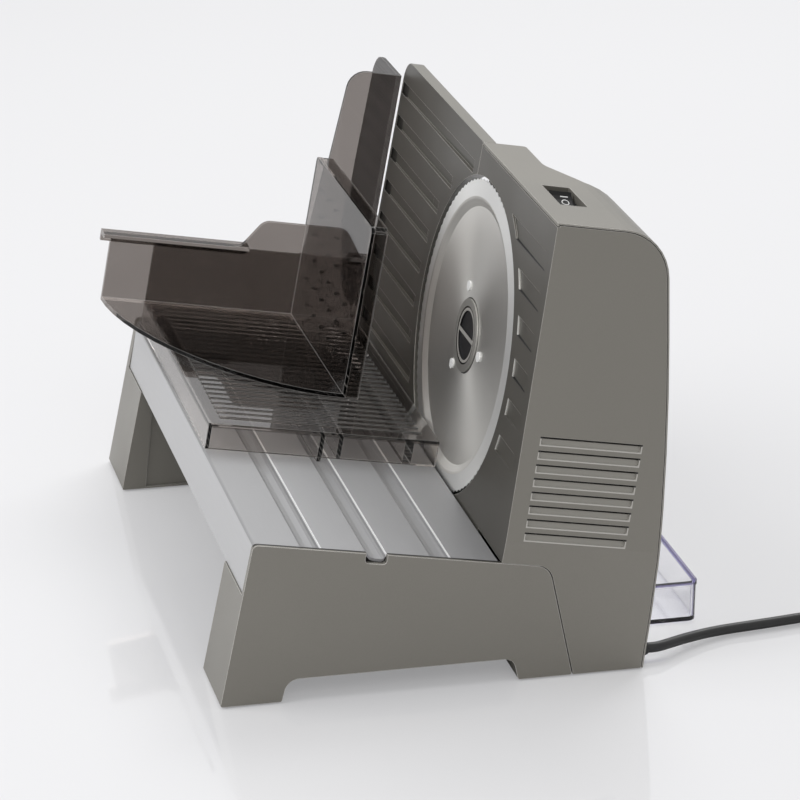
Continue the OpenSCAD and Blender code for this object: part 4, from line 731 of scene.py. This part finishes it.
def clear_plastic(name, tone, other, passes, ior, glint):
    """Polished clear plastic that lets a part of the lamps' light through to what lies under it, with edges that glow
    as a painted highlight when glint is above zero.
    """
    mat = bpy.data.materials.new(name)
    mat.use_nodes = True
    tree = mat.node_tree
    shader = tree.nodes["Principled BSDF"]
    shader.inputs["Transmission Weight"].default_value = 1
    shader.inputs["IOR"].default_value = ior
    shader.inputs["Coat Roughness"].default_value = 0.03
    # Painted highlight: the edges glow through Emission, brighter with a larger glint.
    if glint:
        shader.inputs["Emission Strength"].default_value = 1
        edge_light = tree.nodes.new("ShaderNodeGroup")
        edge_light.node_tree = edges
        edge_glint = tree.nodes.new("ShaderNodeMix")
        edge_glint.data_type = "RGBA"
        edge_glint.inputs["A"].default_value = (0, 0, 0, 1)
        edge_glint.inputs["B"].default_value = (glint, 0.98*glint, 0.95*glint, 1)
        tree.links.new(edge_light.outputs["Mask"], edge_glint.inputs["Factor"])
        tree.links.new(edge_glint.outputs["Result"], shader.inputs["Emission Color"])
    place = tree.nodes.new("ShaderNodeTexCoord")
    haze = tree.nodes.new("ShaderNodeTexNoise")
    haze.inputs["Scale"].default_value = 30
    haze_rough = tree.nodes.new("ShaderNodeMapRange")
    haze_rough.inputs["To Min"].default_value = 0.01
    haze_rough.inputs["To Max"].default_value = 0.05
    haze_tone = tree.nodes.new("ShaderNodeMix")
    haze_tone.data_type = "RGBA"
    haze_tone.inputs["A"].default_value = (*tone, 1)
    haze_tone.inputs["B"].default_value = (*other, 1)
    ray = tree.nodes.new("ShaderNodeLightPath")
    solid = tree.nodes.new("ShaderNodeMapRange")
    solid.inputs["To Min"].default_value = 1
    solid.inputs["To Max"].default_value = 1 - passes
    tree.links.new(place.outputs["Object"], haze.inputs["Vector"])
    tree.links.new(haze.outputs["Fac"], haze_rough.inputs["Value"])
    tree.links.new(haze_rough.outputs["Result"], shader.inputs["Roughness"])
    tree.links.new(haze.outputs["Fac"], haze_tone.inputs["Factor"])
    tree.links.new(haze_tone.outputs["Result"], shader.inputs["Base Color"])
    tree.links.new(ray.outputs["Is Shadow Ray"], solid.inputs["Value"])
    tree.links.new(solid.outputs["Result"], shader.inputs["Alpha"])
    return mat


spike_dark = (0.02, 0.018, 0.017)
smoked = clear_plastic("smoked_clear", (0.20, 0.178, 0.165), (0.23, 0.206, 0.192), 0.7, 1.25, 0.16)
spikes = within(smoked, placed(smoked), Across=(-41.3, -36), Along=(193, 330), Height=(22, 112))
overlay(smoked, spikes, spike_dark)
dress("pusher", smoked)
skirt_pale, inside_pale = (0.72, 0.69, 0.665), (0.95, 0.945, 0.94)
guard_dark, dot_dark = (0.075, 0.067, 0.063), (0.030, 0.027, 0.025)
smoked_carriage = clear_plastic("smoked_carriage", (0.22, 0.198, 0.185), (0.25, 0.226, 0.212), 0.8, 1.25, 0.12)
where = placed(smoked_carriage)
skirts = within(smoked_carriage, where, Height=(-5, 12.9))
overlay(smoked_carriage, skirts, skirt_pale)
inside = all_of(smoked_carriage, skirts, within(smoked_carriage, where, Along=(136.7, 400), Across=(-127.5, 10)))
overlay(smoked_carriage, inside, inside_pale)
deck = all_of(smoked_carriage, facing(smoked_carriage, slope_up, 0.8),
              within(smoked_carriage, where, Height=(14, 18)))
on_guard = within(smoked_carriage, where, Along=(334, 400))
overlay(smoked_carriage, on_guard, guard_dark)
tree = smoked_carriage.node_tree
shader = tree.nodes["Principled BSDF"]
guard_part = tree.nodes.new("ShaderNodeMath")
guard_part.operation = "MULTIPLY"
guard_part.inputs[1].default_value = 0.45
guard_dull = guard_part.outputs["Value"]
polish = shader.inputs["Roughness"].links[0].from_socket
tree.links.new(on_guard, guard_part.inputs[0])
tree.links.new(any_of(smoked_carriage, deck, guard_dull), shader.inputs["Coat Weight"])
tree.links.new(any_of(smoked_carriage, polish, guard_dull), shader.inputs["Roughness"])
dots = tree.nodes.new("ShaderNodeTexVoronoi")
dots.inputs["Scale"].default_value = 520
dots.inputs["Randomness"].default_value = 0
dot_place = tree.nodes.new("ShaderNodeTexCoord")
dot_bump = tree.nodes.new("ShaderNodeBump")
dot_bump.inputs["Strength"].default_value = 0.8
dot_bump.inputs["Distance"].default_value = 0.0006
tree.links.new(dot_place.outputs["Object"], dots.inputs["Vector"])
tree.links.new(all_of(smoked_carriage, dots.outputs["Distance"], on_guard), dot_bump.inputs["Height"])
tree.links.new(dot_bump.outputs["Normal"], shader.inputs["Normal"])
guard_dots = all_of(smoked_carriage, on_guard, between(smoked_carriage, dots.outputs["Distance"], 0, 0.34))
overlay(smoked_carriage, guard_dots, dot_dark)
dress("carriage", smoked_carriage)

# Slice tray
# Clear moulded tray that stands loose on the worktop, behind the blade.
# Its faint violet tint gathers in the rim, the lower edge and the near corner.
clear = clear_plastic("tray_clear", (0.93, 0.93, 0.95), (0.96, 0.96, 0.975), 0.9, 1.49, 0)
tray_low, tray_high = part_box("slice_tray")
tray_place = clear.node_tree.nodes.new("ShaderNodeTexCoord")
tray_axes = clear.node_tree.nodes.new("ShaderNodeSeparateXYZ")
clear.node_tree.links.new(tray_place.outputs["Object"], tray_axes.inputs["Vector"])
rim_high, wall_thick, foot_high, corner_long = 0.0013, 0.0012, 0.0014, 0.007
rim_violet, foot_violet = (0.21, 0.19, 0.35), (0.34, 0.28, 0.85)
at_rim = between(clear, tray_axes.outputs["Z"], tray_high.z - rim_high, 1)
at_side = between(clear, tray_axes.outputs["X"], tray_high.x - wall_thick, 1)
at_front = between(clear, tray_axes.outputs["Y"], -1, tray_low.y + wall_thick)
at_foot = all_of(clear, between(clear, tray_axes.outputs["Z"], -1, foot_high), any_of(clear, at_side, at_front))
at_corner = all_of(clear, at_side, between(clear, tray_axes.outputs["Y"], -1, tray_low.y + corner_long))
overlay(clear, any_of(clear, at_rim, at_corner), rim_violet)
overlay(clear, at_foot, foot_violet)
dress("slice_tray", clear)
